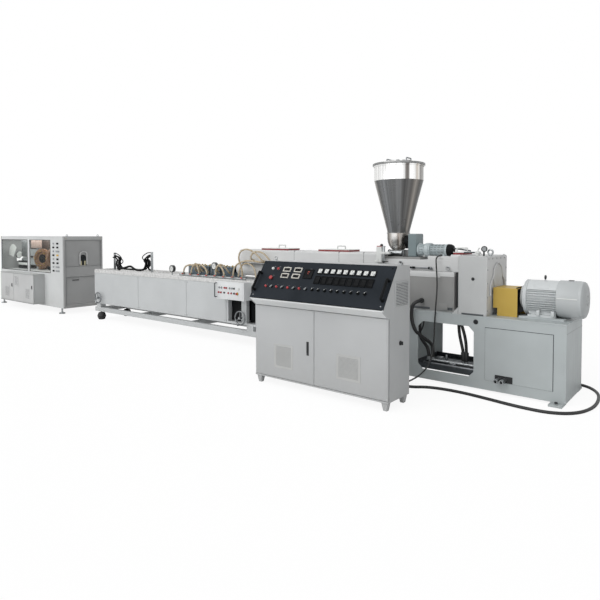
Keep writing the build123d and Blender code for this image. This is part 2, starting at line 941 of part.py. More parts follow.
def on_panel(share_x, share_y, depth=0):
    """Place on the sloping console: shares across and up it, then a depth out of it."""
    foot = Pos(0, chin_front, console_foot) * Rot(panel_tilt, 0, 0)
    x = cabinet_left + share_x * cabinet_width
    return foot * Pos(x, share_y * panel_run, panel_thick + depth)


def console_panel():
    middle_x = cabinet_left + cabinet_width / 2
    panel = (Pos(0, chin_front, console_foot) * Rot(panel_tilt, 0, 0)
             * Pos(middle_x, panel_run / 2, panel_thick / 2)
             * Box(cabinet_width, panel_run - 2 * panel_margin, panel_thick))
    for outward in halves:
        share = mid_share + outward * (mid_share - handle_inset / cabinet_width)
        bar_length = (handle_high_share - handle_low_share) * panel_run
        middle = (handle_low_share + handle_high_share) / 2
        panel += on_panel(share, middle, handle_rise) * Box(handle_bar, bar_length, handle_bar)
        for end in (handle_low_share, handle_high_share):
            panel += on_panel(share, end, handle_rise / 2) * Box(
                handle_bar, handle_bar, handle_rise + handle_bar)
    return [panel]


def console_instruments():
    pieces = []

    def bezel(share_x, share_y, width, height):
        pieces.append(on_panel(share_x, share_y, bezel_depth / 2) * Box(width, height, bezel_depth))

    def button(share_x, share_y, radius):
        pieces.append(on_panel(share_x, share_y, knob_depth / 2) * Cylinder(radius, knob_depth))

    for share_x in bezel_x_shares:
        for share_y in bezel_y_shares:
            bezel(share_x, share_y, bezel_width, bezel_height)
    bezel(display_share_x, display_share_y, display_width, display_height)
    for share_x in column_shares:
        bezel(share_x, meter_share_y, meter_width, meter_height)
        bezel(share_x, controller_share_y, controller_width, controller_height)
    for share_x in knob_shares:
        button(share_x, knob_share_y, knob_radius)
    for share_x in lamp_shares:
        button(share_x, lamp_share_y, knob_radius)
    button(stop_share_x, stop_share_y, stop_radius)
    return pieces


def cabinet_feet():
    feet = []
    for x in (cabinet_left + foot_corner_inset, cabinet_right - foot_corner_inset):
        for y in (cabinet_front + foot_corner_inset, cabinet_back_y - foot_corner_inset):
            base = Pos(x, y, 0) * Rectangle(foot_base_size, foot_base_size)
            top = Pos(x, y, cabinet_floor_height) * Rectangle(foot_top_size, foot_top_size)
            feet.append(loft([base.face(), top.face()]))
    return feet


def hinged_door(hinge_edge, free_edge, y0, z0, z1):
    """Door with a rounded hinge edge bored for its top and bottom pins."""
    outward = 1 if hinge_edge > free_edge else -1
    pin_x = hinge_axis(hinge_edge, outward)
    low, high = sorted((pin_x, free_edge))
    middle_y = y0 + door_thick / 2
    door = block(low, high, y0, y0 + door_thick, z0, z1)
    door += rod_z(z0, z1, pin_x, middle_y, door_thick / 2)
    bore = pin_length + run_gap
    for start, end in ((z0 - overrun, z0 + bore), (z1 - bore, z1 + overrun)):
        door -= rod_z(start, end, pin_x, middle_y, pin_radius + run_gap)
    return door


def cabinet_door_left():
    split = cabinet_left + door_split_share * cabinet_width
    return [hinged_door(cabinet_left, split - clear_gap / 2, cabinet_front, door_bottom, door_top)]


def cabinet_door_right():
    split = cabinet_left + door_split_share * cabinet_width
    return [hinged_door(cabinet_right, split + clear_gap / 2, cabinet_front, door_bottom,
                        door_top)]


def table_body():
    half = table_half_width
    body = block(table_left, table_right, -half, half, table_bottom, table_body_top)
    body -= block(bay_left, bay_right, -half - overrun, half - bay_back_wall, bay_floor,
                  bay_head)
    post = table_right - post_offset
    body += block(post, post + post_width, -half, post_depth - half, bay_floor, bay_head)
    for x, z, face in ((wheel_left_x, wheel_left_z, table_face), (wheel_right_x, wheel_right_z, half)):
        collar = -face - wheel_stand_off
        body += rod_y(collar - wheel_hub_length, -half, x, z, wheel_shaft)
        body += rod_y(collar, collar + wheel_collar_depth, x, z, wheel_collar)
    return [body]


def table_panels():
    panels = []
    bottom = table_bottom + panel_edge
    top = table_body_top - panel_edge
    run = table_length - panel_end_offset
    splits = [table_left + share * run for share in panel_shares]
    for low, high in both_sides(table_face, table_skin):
        for left, right in zip(splits, splits[1:]):
            panel = block(left + panel_gap / 2, right - panel_gap / 2, low, high, bottom, top)
            if low < 0:
                panel -= rod_y(low - overrun, high + overrun, wheel_left_x, wheel_left_z,
                               wheel_collar)
            panels.append(panel)
    return panels


def table_top():
    face = table_face
    top = block(table_left, table_right, -face, face, table_body_top, table_top_height)
    top -= block(table_left + rim_width, table_right - rim_width, rim_width - face,
                 face - rim_width, trough_floor, table_top_height + overrun)
    return [top]


def table_rails():
    outer = table_half_width
    top = beam_bottom + beam_height
    frame = None
    for low, high in both_sides(outer, beam_width):
        beam = block(table_left, table_right, low, high, beam_bottom, top)
        frame = beam if frame is None else frame + beam
    for share in cross_shares:
        x = table_left + share * table_length
        frame += block(x - cross_width / 2, x + cross_width / 2, -outer, outer, beam_bottom, top)
    for share in (cross_shares[0], cross_shares[-1]):
        x = table_left + share * table_length
        for side in halves:
            edges = sorted((side * outer, side * (outer - jack_width)))
            frame += block(x - jack_length / 2, x + jack_length / 2, *edges, top, table_bottom)
    return [frame]


def table_feet():
    feet = []
    for share in foot_shares:
        x = table_left + share * table_length
        for side in halves:
            y = side * (table_half_width - beam_width / 2)
            foot = rod_z(mount_height, beam_bottom, x, y, mount_stem)
            end = mount_radius * mount_flare_share
            foot += Pos(x, y, mount_height / 4) * Cone(end, mount_radius, mount_height / 2)
            foot += Pos(x, y, mount_height * 3 / 4) * Cone(mount_radius, end, mount_height / 2)
            feet.append(foot)
    return feet


def handwheel(x, z, face):
    """Rim, spokes, hub and crank knob on a plain shaft."""
    back = -face - wheel_stand_off - run_gap
    front = back - wheel_hub_length
    middle = (front + back) / 2
    hub_inside = wheel_hub - wheel_spoke
    wheel = rod_y(middle - wheel_bar, middle + wheel_bar, x, z, wheel_ring + wheel_bar)
    wheel -= rod_y(front, back, x, z, wheel_ring - wheel_bar)
    wheel = fillet(wheel.edges().filter_by(GeomType.CIRCLE), wheel_bar * wheel_round_share)
    for number in range(wheel_spokes):
        turn = Rot(0, number * 360 / wheel_spokes, 0)
        wheel += (Pos(x, middle, z) * turn * Pos(0, 0, (hub_inside + wheel_ring) / 2)
                  * Cylinder(wheel_spoke, wheel_ring - hub_inside))
    wheel += rod_y(front, back, x, z, wheel_hub)
    wheel += rod_y(middle - wheel_knob_length, middle, x, z - wheel_ring, wheel_knob)
    wheel -= rod_y(front - overrun, back + overrun, x, z, wheel_shaft + run_gap)
    return [wheel]


def handwheel_left():
    return handwheel(wheel_left_x, wheel_left_z, table_face)


def handwheel_right():
    return handwheel(wheel_right_x, wheel_right_z, table_half_width)


def table_control_box():
    return [block(table_right - control_left_offset, table_right - control_right_offset,
                  -table_face - control_depth, -table_face, control_bottom, control_top)]


def calibrators():
    blocks = []
    for number in range(calibrator_count):
        left = number * calibrator_pitch + calibrator_left
        piece = block(left, left + calibrator_length, -calibrator_half_width,
                      calibrator_half_width, trough_floor, calibrator_top)
        for side in halves:
            piece -= rod_x(left - overrun, left + calibrator_length + overrun,
                           side * bore_spacing / 2, axis_height - bore_radius, bore_radius)
        blocks.append(piece)
    return blocks


def valve_places():
    """x of each valve, from the die end."""
    return [table_right - valve_offset - number * valve_pitch for number in range(valve_count)]


def water_manifold():
    manifold = rod_x(pipe_left, pipe_right, pipe_y, pipe_height, pipe_radius)
    for number in range(pipe_legs):
        x = pipe_left + (number + mid_share) * (pipe_right - pipe_left) / pipe_legs
        manifold += rod_z(table_top_height, pipe_height, x, pipe_y, pipe_leg / 2)
    for x in valve_places():
        manifold += block(x - valve_size / 2, x + valve_size / 2, pipe_y - valve_size / 2,
                          pipe_y + valve_size / 2, pipe_height, pipe_height + valve_height)
    pieces = [manifold]
    for offset, height in zip(gauge_offsets, gauge_heights):
        x = table_right - offset
        y = pipe_y + gauge_foot
        gauge = rod_y(y - gauge_depth / 2, y + gauge_depth / 2, x, height, gauge_radius)
        if x < pipe_left:
            gauge += rod_z(trough_floor, height, x, y, gauge_stem)
            pieces.append(gauge)
        else:
            gauge += rod_z(pipe_height, height, x, y, gauge_stem)
            gauge += rod_y(pipe_y, y, x, pipe_height, gauge_stem)
            pieces[0] += gauge
    return pieces


def guide_plates():
    plates = []
    for share, side in zip(plate_shares, halves):
        x = table_left + share * table_length
        low, high = sorted((side * plate_inner, side * plate_reach))
        plate = block(x - plate_thick / 2, x + plate_thick / 2, low, high, trough_floor, plate_top)
        plate += rod_x(x - plate_thick / 2, x + plate_thick / 2, 0, axis_height, plate_ring)
        plate -= rod_x(x - overrun, x + overrun, 0, axis_height, plate_hole)
        plates.append(plate)
    return plates


def water_hoses():
    hoses = []
    start = pipe_height + valve_height
    side = -bonnet_width / 2
    valves = valve_places()
    for x, corners in zip(valves, long_loops):
        route = [(x, pipe_y, start)] + [(x + offset, pipe_y, height) for offset, height in corners]
        route.append((route[-1][0], side, route[-1][2]))
        hoses.append(bent_bar(route, loop_bend, loop_radius))
    route = [(offset - bonnet_end, pipe_y, height) for offset, height in bonnet_loop]
    ends = [(x, side, height) for x, y, height in (route[0], route[-1])]
    hoses.append(bent_bar([ends[0]] + route + [ends[1]], loop_bend, loop_radius))
    near, far = loop_crown_shares
    foot_y = -calibrator_half_width - loop_foot_reach
    for x, top, lean in zip(valves[len(long_loops):], loop_tops, loop_leans):
        run = foot_y - pipe_y
        route = ((x, pipe_y, start), (x, pipe_y, start + loop_foot_reach),
                 (x + near * lean, pipe_y + near * run, top),
                 (x + far * lean, pipe_y + far * run, top), (x + lean, foot_y, loop_foot_height),
                 (x + lean, -calibrator_half_width, loop_foot_height))
        hoses.append(bent_bar(route, short_loop_bend, loop_radius))
    return hoses


def haul_off_end_panels():
    left = block(haul_left, haul_left + haul_end_skin, haul_front, haul_back, haul_bottom, haul_top)
    right = block(haul_right - haul_end_skin, haul_right, haul_front, haul_back, haul_bottom,
                  haul_top)
    top = haul_top - recess_edge
    for low, high in ((recess_bottom, top), (lower_recess_bottom, lower_recess_top)):
        right -= block(haul_right - recess_depth, haul_right + overrun, haul_front + recess_edge,
                       haul_back - recess_edge, low, high)
    panels = []
    for panel, x in ((left, haul_left), (right, haul_right - haul_end_skin)):
        panel -= block(x - overrun, x + haul_end_skin + overrun, -arch_half, arch_half, arch_sill,
                       arch_top - arch_half)
        panel -= rod_x(x - overrun, x + haul_end_skin + overrun, 0, arch_top - arch_half, arch_half)
        panels.append(panel)
    return panels


def haul_inside():
    """x places between the two end panels."""
    return haul_left + haul_end_skin, haul_right - haul_end_skin


def haul_off_roof_and_deck():
    left, right = haul_inside()
    roof = block(left, right, haul_front, haul_back, haul_top - haul_skin, haul_top)
    deck = block(left, right, haul_front + haul_skin, haul_back - haul_skin, haul_deck - haul_skin,
                 haul_deck)
    return [roof, deck]


def haul_off_back_panel():
    left, right = haul_inside()
    panel = block(left, right, haul_back - haul_skin, haul_back, haul_bottom,
                  haul_top - haul_skin)
    for low, high in pane_places():
        panel -= block(low, high, haul_back - haul_skin - overrun, haul_back + overrun,
                       haul_deck, window_top)
    return [panel]


def pane_places():
    """Left and right x of each window."""
    return [(haul_left + low, haul_left + high) for low, high in pane_offsets]


def haul_off_front_frame():
    left, right = haul_inside()
    frame = block(left, right, haul_front, haul_front + haul_skin, haul_bottom,
                  haul_top - haul_skin)
    for low, high in pane_places():
        frame -= block(low, high, haul_front - overrun, haul_front + haul_skin + overrun,
                       haul_deck, window_top)
    return [frame]


def haul_off_windows():
    faces = (haul_front + pane_set_back, haul_back - pane_set_back - pane_thick)
    return [block(low, high, face, face + pane_thick, haul_deck, window_top)
            for face in faces for low, high in pane_places()]


def switch_cabinet():
    left = switch_left
    right = switch_right
    wall = switch_wall
    box = block(left, right, switch_front, haul_front, switch_bottom, switch_top)
    box -= block(left + wall, right - wall, switch_front - overrun, haul_front - wall,
                 switch_bottom + wall, switch_top - wall)
    box -= block(left - overrun, right + overrun, switch_front - overrun, switch_door_back,
                 switch_bottom + wall, switch_top - wall)
    pin_y = switch_front + door_thick / 2
    low = switch_bottom + wall
    high = switch_top - wall
    for edge in (left, switch_split + clear_gap / 2):
        x = hinge_axis(edge, -1)
        box += rod_z(low, low + clear_gap + pin_length, x, pin_y, pin_radius)
        box += rod_z(high - clear_gap - pin_length, high, x, pin_y, pin_radius)
    return [box]


def switch_door(hinge_edge, free_edge):
    low = switch_bottom + switch_wall + clear_gap
    high = switch_top - switch_wall - clear_gap
    return [hinged_door(hinge_edge, free_edge, switch_front, low, high)]


def switch_door_left():
    return switch_door(switch_left, switch_split - clear_gap / 2)


def switch_door_right():
    return switch_door(switch_split + clear_gap / 2, switch_right)


def saw_ring():
    low = saw_x - saw_width / 2
    high = saw_x + saw_width / 2
    ring = rod_x(low, high, 0, saw_height, saw_radius)
    ring += block(low, high, -saw_foot / 2, saw_foot / 2, haul_deck, saw_height)
    ring -= rod_x(low - overrun, high + overrun, 0, saw_height, saw_bore)
    return [ring]


def pulling_tracks():
    left = haul_left + track_left_offset
    right = haul_left + track_right_offset
    tracks = []
    lower_top = axis_height - track_gap / 2
    upper_bottom = axis_height + track_gap / 2
    for bottom in (lower_top - track_height, upper_bottom):
        track = block(left, right, -track_half_width, track_half_width, bottom,
                      bottom + track_height)
        ends = track.edges().filter_by(Axis.Y)
        tracks.append(fillet(ends, track_height / 2 - run_gap))
    for x in (left + track_height, right - track_height):
        tracks[0] += block(x - track_leg / 2, x + track_leg / 2, -track_leg / 2, track_leg / 2,
                           haul_deck, lower_top - track_height / 2)
        tracks[1] += block(x - track_leg / 2, x + track_leg / 2, -track_leg / 2, track_leg / 2,
                           upper_bottom + track_height / 2, haul_top - haul_skin)
    return tracks


def inlet_rollers():
    x = haul_right - haul_end_skin / 2
    return [rod_z(arch_sill, roller_top, x, side * roller_spacing / 2, roller_radius)
            for side in halves]


def haul_off_feet():
    feet = []
    for x in (haul_left + level_inset, haul_right - level_inset):
        for y, inward in ((haul_front, 1), (haul_back, -1)):
            place = y + inward * haul_skin / 2
            foot = rod_z(0, level_pad_height, x, place, level_pad_radius)
            foot += rod_z(level_pad_height, haul_bottom, x, place, level_stem_radius)
            feet.append(foot)
    return feet


def cord(route, radius):
    """Tube of straight runs and tangent arcs through the route."""
    bend_share = 0.45
    radii = []
    for before, here, after in zip(route, route[1:], route[2:]):
        back = Vector(*before) - Vector(*here)
        ahead = Vector(*after) - Vector(*here)
        turn = math.radians(180 - back.get_angle(ahead))
        radii.append(bend_share * min(back.length, ahead.length) / math.tan(turn / 2))
    print("smallest bend", round(min(radii)), "for a bar of", 2 * radius)
    path = FilletPolyline(*route, radius=radii)
    return [tube(path, radius)]


def floor_cable():
    return cord(floor_cable_route, floor_cable_radius)


def feeder_cable():
    return cord(feeder_cable_route, feeder_cable_radius)


makers = (
    base_side_plates, base_deck, base_cross_plates, base_floor_tray, base_foot_pads,
    access_covers, water_pipework, window_hoses, motor_frame, motor_fan_cowl, drive_coupling,
    coupling_guard, gearbox_housing, barrel_cover, cover_bellows, barrel_bonnet,
    bonnet_vent_lids, die_head, hopper_shell, hopper_lid, feeder_trough, feeder_gearbox,
    feeder_motor, vacuum_pipe, cabinet_sides, cabinet_back, cabinet_top_and_floor,
    cabinet_front_frame, console_panel, console_instruments, cabinet_feet, cabinet_door_left,
    cabinet_door_right, table_body, table_panels, table_top, table_rails, table_feet,
    handwheel_left, handwheel_right, table_control_box, calibrators, water_manifold,
    guide_plates, water_hoses, haul_off_end_panels, haul_off_roof_and_deck,
    haul_off_back_panel, haul_off_front_frame, haul_off_windows, switch_cabinet,
    switch_door_left, switch_door_right, saw_ring, pulling_tracks, inlet_rollers,
    haul_off_feet)
cords = (floor_cable, feeder_cable)

pieces = {maker.__name__: Compound(maker()) for maker in makers + cords}
rigid = Compound([pieces[maker.__name__] for maker in makers]).bounding_box()
shift = Pos(-rigid.center().X, -rigid.center().Y, -rigid.min.Z)
print("shift", -rigid.center().X, -rigid.center().Y, -rigid.min.Z)
print("size", rigid.size.X, rigid.size.Y, rigid.size.Z)
for name, piece in pieces.items():
    export_step(shift * piece, f"parts/{name}.step")
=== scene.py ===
import math
import bpy
from mathutils import Matrix, Vector


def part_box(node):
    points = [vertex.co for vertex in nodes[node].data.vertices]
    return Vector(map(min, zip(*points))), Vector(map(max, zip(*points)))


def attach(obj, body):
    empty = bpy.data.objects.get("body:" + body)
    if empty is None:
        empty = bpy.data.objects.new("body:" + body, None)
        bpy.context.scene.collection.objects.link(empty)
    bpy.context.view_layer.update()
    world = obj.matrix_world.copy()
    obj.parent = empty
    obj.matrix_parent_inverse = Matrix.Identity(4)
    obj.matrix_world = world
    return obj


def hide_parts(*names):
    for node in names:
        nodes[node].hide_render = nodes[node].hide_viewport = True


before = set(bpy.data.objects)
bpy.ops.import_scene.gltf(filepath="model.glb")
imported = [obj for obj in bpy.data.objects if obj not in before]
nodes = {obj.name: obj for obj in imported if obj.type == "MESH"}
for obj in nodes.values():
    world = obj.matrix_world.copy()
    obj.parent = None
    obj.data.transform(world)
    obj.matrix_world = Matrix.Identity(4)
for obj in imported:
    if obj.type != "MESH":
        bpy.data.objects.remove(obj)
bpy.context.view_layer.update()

scene = bpy.context.scene
scene.view_settings.view_transform = "Standard"

# the line's own frame in mm: x 0 at the drive end of the base, y 0 on the extrusion axis, heights from
# the floor
deckLow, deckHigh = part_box("base_deck")
linePlace = Matrix.Translation((deckHigh.x, (deckLow.y + deckHigh.y) / 2, 0))


def at(x, y, z):
    return linePlace @ Vector((x / 1000, y / 1000, z / 1000))


# camera at the photograph's eye
photoCamera = {"place": (1163, -5680, 1600), "pitch": 88.25, "turn": 39.1, "lens": 31.8, "shiftY": -0.0817}
bpy.ops.object.camera_add(location=at(*photoCamera["place"]),
                          rotation=(math.radians(photoCamera["pitch"]), 0, math.radians(photoCamera["turn"])))
camera = bpy.context.object
camera.data.lens = photoCamera["lens"]
camera.data.sensor_width = 36
camera.data.shift_y = photoCamera["shiftY"]
camera.data.clip_end = 200
scene.camera = camera
print("camera placed")

alongLine, toFront = (1, 0, 0), (0, -1, 0)  # axes of turned pieces


# helpers: selection, shaping, finishing
def clearSelection():
    if bpy.context.object and bpy.context.object.mode != "OBJECT":
        bpy.ops.object.mode_set(mode="OBJECT")
    bpy.ops.object.select_all(action="DESELECT")


def selectOnly(piece):
    clearSelection()
    bpy.context.view_layer.objects.active = piece
    piece.select_set(True)


def softenEdges(piece, width, segments=2):
    selectOnly(piece)
    bevel = piece.modifiers.new("edges", "BEVEL")
    bevel.width = width / 1000
    bevel.segments = segments
    bevel.limit_method = "ANGLE"
    bevel.angle_limit = math.radians(35)
    bpy.ops.object.modifier_apply(modifier="edges")
    return piece


def block(low, high, edge=2, place=None):
    clearSelection()
    corners = [sorted(pair) for pair in zip(low, high)]
    bpy.ops.mesh.primitive_cube_add(size=1)
    piece = bpy.context.object
    piece.scale = [(b - a) / 1000 for a, b in corners]
    piece.location = [(a + b) / 2000 for a, b in corners]
    bpy.ops.object.transform_apply(location=True, rotation=True, scale=True)
    if edge:
        bpy.ops.object.mode_set(mode="EDIT")
        bpy.ops.mesh.select_all(action="SELECT")
        bpy.ops.mesh.bevel(offset=edge / 1000, segments=2, affect="EDGES", clamp_overlap=True)
        bpy.ops.object.mode_set(mode="OBJECT")
    piece.data.transform(linePlace if place is None else place)
    return piece


def rod(start, end, radius, edge=1, sides=32, tip=None, place=None):
    clearSelection()
    a, b = Vector(start) / 1000, Vector(end) / 1000
    run = b - a
    turn = Vector((0, 0, 1)).rotation_difference(run).to_matrix().to_4x4()
    bpy.ops.mesh.primitive_cone_add(vertices=sides, radius1=radius / 1000, depth=run.length,
                                    radius2=(radius if tip is None else tip) / 1000)
    piece = bpy.context.object
    if edge:
        softenEdges(piece, edge)
    piece.data.transform((linePlace if place is None else place) @ Matrix.Translation((a + b) / 2) @ turn)
    return piece


def lathe(profile, centre, axis=(0, 0, 1), sides=64, place=None):
    # a profile of (radius, height) drawn by extruding one vertex, then spun about the axis
    clearSelection()
    bpy.ops.mesh.primitive_plane_add(size=0.01)
    piece = bpy.context.object
    bpy.ops.object.mode_set(mode="EDIT")
    bpy.ops.mesh.select_mode(type="VERT")
    bpy.ops.mesh.select_all(action="SELECT")
    bpy.ops.mesh.merge(type="CENTER")
    bpy.ops.transform.translate(value=(profile[0][0] / 1000, 0, profile[0][1] / 1000))
    for (radius, height), (lastRadius, lastHeight) in zip(profile[1:], profile):
        bpy.ops.mesh.extrude_vertices_move(TRANSFORM_OT_translate={
            "value": ((radius - lastRadius) / 1000, 0, (height - lastHeight) / 1000)})
    bpy.ops.mesh.select_all(action="SELECT")
    bpy.ops.mesh.spin(steps=sides, angle=2 * math.pi, center=(0, 0, 0), axis=(0, 0, 1))
    bpy.ops.mesh.select_all(action="SELECT")
    bpy.ops.mesh.remove_doubles(threshold=0.00002)
    bpy.ops.mesh.normals_make_consistent(inside=False)
    bpy.ops.object.mode_set(mode="OBJECT")
    turn = Vector((0, 0, 1)).rotation_difference(Vector(axis)).to_matrix().to_4x4()
    piece.data.transform((linePlace if place is None else place)
                         @ Matrix.Translation(Vector(centre) / 1000) @ turn)
    return piece


def splineCurve(name, points, radius, rings, steps, closed=False):
    # a round bar on a smooth spline through points in metres
    curve = bpy.data.curves.new(name, "CURVE")
    curve.dimensions = "3D"
    spline = curve.splines.new("NURBS")
    spline.points.add(len(points) - 1)
    for target, point in zip(spline.points, points):
        target.co = (*point, 1)
    spline.order_u = 3
    spline.use_endpoint_u = not closed
    spline.use_cyclic_u = closed
    curve.bevel_depth = radius / 1000
    curve.bevel_resolution = rings
    curve.resolution_u = steps
    curve.use_fill_caps = True
    piece = bpy.data.objects.new(name, curve)
    scene.collection.objects.link(piece)
    return piece


def bentBar(points, radius, closed=False, place=None):
    # a spline through points in mm, made a mesh before it is placed
    clearSelection()
    route = [Vector(point) / 1000 for point in points]
    selectOnly(splineCurve("bar", route, radius, rings=3, steps=6, closed=closed))
    bpy.ops.object.convert(target="MESH")
    piece = bpy.context.object
    piece.data.transform(linePlace if place is None else place)
    return piece


def ringBar(centre, wide, high, radius, along="x"):
    # an upright closed ring that lies along the line or across it
    points = []
    for number in range(12):
        angle = number * math.pi / 6
        across, up = wide * math.cos(angle), high * math.sin(angle)
        points.append(Vector(centre) + Vector((across, 0, up) if along == "x" else (0, across, up)))
    return bentBar(points, radius, closed=True)


def copyPiece(piece, offset, turn=None):
    twin = piece.copy()
    twin.data = piece.data.copy()
    if turn is not None:
        twin.data.transform(turn)
    twin.data.transform(Matrix.Translation(Vector(offset) / 1000))
    scene.collection.objects.link(twin)
    return twin


def turnAbout(spot, angle, axis):
    turn = Matrix.Rotation(math.radians(angle), 4, axis)
    return Matrix.Translation(spot) @ turn @ Matrix.Translation(-spot)


def turnPiece(piece, angle, axis, centre, place=None):
    spot = (linePlace if place is None else place) @ (Vector(centre) / 1000)
    piece.data.transform(turnAbout(spot, angle, axis))
    return piece


def insetFaces(piece, out, steps):
    # the faces that look along out, inset by each step of (width, depth) in mm
    selectOnly(piece)
    bpy.context.tool_settings.mesh_select_mode = (False, False, True)
    for polygon in piece.data.polygons:
        polygon.select = polygon.normal.dot(out) > 0.9
    bpy.ops.object.mode_set(mode="EDIT")
    for width, depth in steps:
        bpy.ops.mesh.inset(thickness=width / 1000, depth=depth / 1000)
    bpy.ops.object.mode_set(mode="OBJECT")


def finishPiece(pieces, name, material, body="line", angle=38):
    pieces = [pieces] if isinstance(pieces, bpy.types.Object) else list(pieces)
    clearSelection()
    for piece in pieces:
        piece.select_set(True)
    bpy.context.view_layer.objects.active = pieces[0]
    if len(pieces) > 1:
        bpy.ops.object.join()
    piece = bpy.context.object
    bpy.ops.object.shade_smooth_by_angle(angle=math.radians(angle))
    piece.name = name
    piece.data.name = name
    piece.data.materials.clear()
    piece.data.materials.append(material)
    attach(piece, body)
    return piece


def boltHeads(places, axis, size, name, material):
    # a hexagon head on a washer at each place
    direction = Vector(axis).normalized()
    made = []
    for place in places:
        start = Vector(place)
        made.append(rod(start, start + direction * size * 0.16, size * 1.02, edge=0, sides=16))
        made.append(rod(start, start + direction * size * 0.65, size * 0.85, edge=size * 0.1, sides=6))
    return finishPiece(made, name, material)


# materials: colours are sRGB hex values, patterns are sized in millimetres on Object coordinates
def linearColour(hexValue):
    channels = [int(hexValue[i:i + 2], 16) / 255 for i in (1, 3, 5)]
    return (*[c / 12.92 if c <= 0.04045 else ((c + 0.055) / 1.055) ** 2.4 for c in channels], 1)


def addNode(tree, kind, settings=None, links=None):
    node = tree.nodes.new(kind)
    for key, value in (settings or {}).items():
        if isinstance(key, int) or key in node.inputs:
            node.inputs[key].default_value = value
        else:
            setattr(node, key, value)
    for key, source in (links or {}).items():
        tree.links.new(source, node.inputs[key])
    return node


def startMaterial(name):
    material = bpy.data.materials.new(name)
    material.use_nodes = True
    tree = material.node_tree
    tree.nodes.clear()
    spot = addNode(tree, "ShaderNodeTexCoord").outputs["Object"]
    return material, tree, spot


def endMaterial(tree, shader):
    output = addNode(tree, "ShaderNodeOutputMaterial")
    tree.links.new(shader.outputs[0], output.inputs["Surface"])


def noiseOf(tree, spot, size, detail=2, rough=0.5):
    # noise with features of that size in mm
    settings = {"Scale": 1000 / size, "Detail": detail, "Roughness": rough}
    return addNode(tree, "ShaderNodeTexNoise", settings, {"Vector": spot}).outputs["Fac"]


def rangeOf(tree, source, fromLow, fromHigh, toLow=0.0, toHigh=1.0):
    settings = {"From Min": fromLow, "From Max": fromHigh, "To Min": toLow, "To Max": toHigh}
    return addNode(tree, "ShaderNodeMapRange", settings, {"Value": source}).outputs["Result"]


def toneOf(tree, share, colour, shade):
    settings = {"data_type": "RGBA", 6: linearColour(colour), 7: linearColour(shade)}
    return addNode(tree, "ShaderNodeMix", settings, {"Factor": share}).outputs[2]


def bumpOf(tree, height, strength, distance):
    settings = {"Strength": strength, "Distance": distance}
    return addNode(tree, "ShaderNodeBump", settings, {"Height": height}).outputs["Normal"]


def stovedEnamel(name, colour, shade, rough=0.42, dust=0.35):
    # sheet steel with stoved enamel: cloudy tone, orange peel, rub marks and floor dust low down
    material, tree, spot = startMaterial(name)
    cloud = rangeOf(tree, noiseOf(tree, spot, 600, 3, 0.55), 0.35, 0.68)
    tone = toneOf(tree, cloud, colour, shade)
    height = addNode(tree, "ShaderNodeSeparateXYZ", None, {"Vector": spot}).outputs["Z"]
    low = rangeOf(tree, height, 0.0, 0.45, 1.0, 0.0)
    stain = addNode(tree, "ShaderNodeMath", {"operation": "MULTIPLY"},
                    {0: low, 1: noiseOf(tree, spot, 70, 5, 0.65)})
    dustShare = addNode(tree, "ShaderNodeMath", {"operation": "MULTIPLY", 1: dust}, {0: stain.outputs[0]})
    dusty = addNode(tree, "ShaderNodeMix", {"data_type": "RGBA", 7: linearColour("#8d8a83")},
                    {"Factor": dustShare.outputs[0], 6: tone})
    stretch = addNode(tree, "ShaderNodeMapping", {"Scale": (9, 9, 1.2)}, {"Vector": spot})
    rub = noiseOf(tree, stretch.outputs["Vector"], 1000 / 3, 6, 0.6)
    gloss = rangeOf(tree, rub, 0.3, 0.75, rough - 0.07, rough + 0.1)
    peel = bumpOf(tree, noiseOf(tree, spot, 5, 1), 0.12, 0.0006)
    shader = addNode(tree, "ShaderNodeBsdfPrincipled", {"IOR": 1.5},
                     {"Base Color": dusty.outputs[2], "Roughness": gloss, "Normal": peel})
    endMaterial(tree, shader)
    return material


def bareMetal(name, colour, shade, rough=0.3, grain=(1, 1, 1), fine=2.5, cloud=140, depth=0.12, metallic=1.0):
    # worked metal: fine grain stretched along the way it was brushed or drawn, with handling marks
    material, tree, spot = startMaterial(name)
    stretch = addNode(tree, "ShaderNodeMapping", {"Scale": grain}, {"Vector": spot})
    scratch = noiseOf(tree, stretch.outputs["Vector"], fine, 4, 0.6)
    marks = noiseOf(tree, spot, cloud, 4, 0.6)
    blend = addNode(tree, "ShaderNodeMath", {"operation": "ADD"}, {0: scratch, 1: marks}).outputs[0]
    tone = toneOf(tree, rangeOf(tree, blend, 0.7, 1.3), colour, shade)
    gloss = rangeOf(tree, blend, 0.7, 1.3, max(0.04, rough - 0.08), rough + 0.1)
    shader = addNode(tree, "ShaderNodeBsdfPrincipled", {"Metallic": metallic},
                     {"Base Color": tone, "Roughness": gloss, "Normal": bumpOf(tree, scratch, depth, 0.0004)})
    endMaterial(tree, shader)
    return material


def mouldedPlastic(name, colour, shade, rough=0.4, grain=1.2, depth=0.1, cloud=60, ior=1.5):
    # moulded plastic or rubber: faint tool texture, slightly uneven tone
    material, tree, spot = startMaterial(name)
    cloudNoise = noiseOf(tree, spot, cloud, 4)
    tone = toneOf(tree, rangeOf(tree, cloudNoise, 0.35, 0.7), colour, shade)
    gloss = rangeOf(tree, cloudNoise, 0.3, 0.7, rough - 0.05, rough + 0.08)
    texture = bumpOf(tree, noiseOf(tree, spot, grain), depth, 0.0003)
    shader = addNode(tree, "ShaderNodeBsdfPrincipled", {"IOR": ior},
                     {"Base Color": tone, "Roughness": gloss, "Normal": texture})
    endMaterial(tree, shader)
    return material


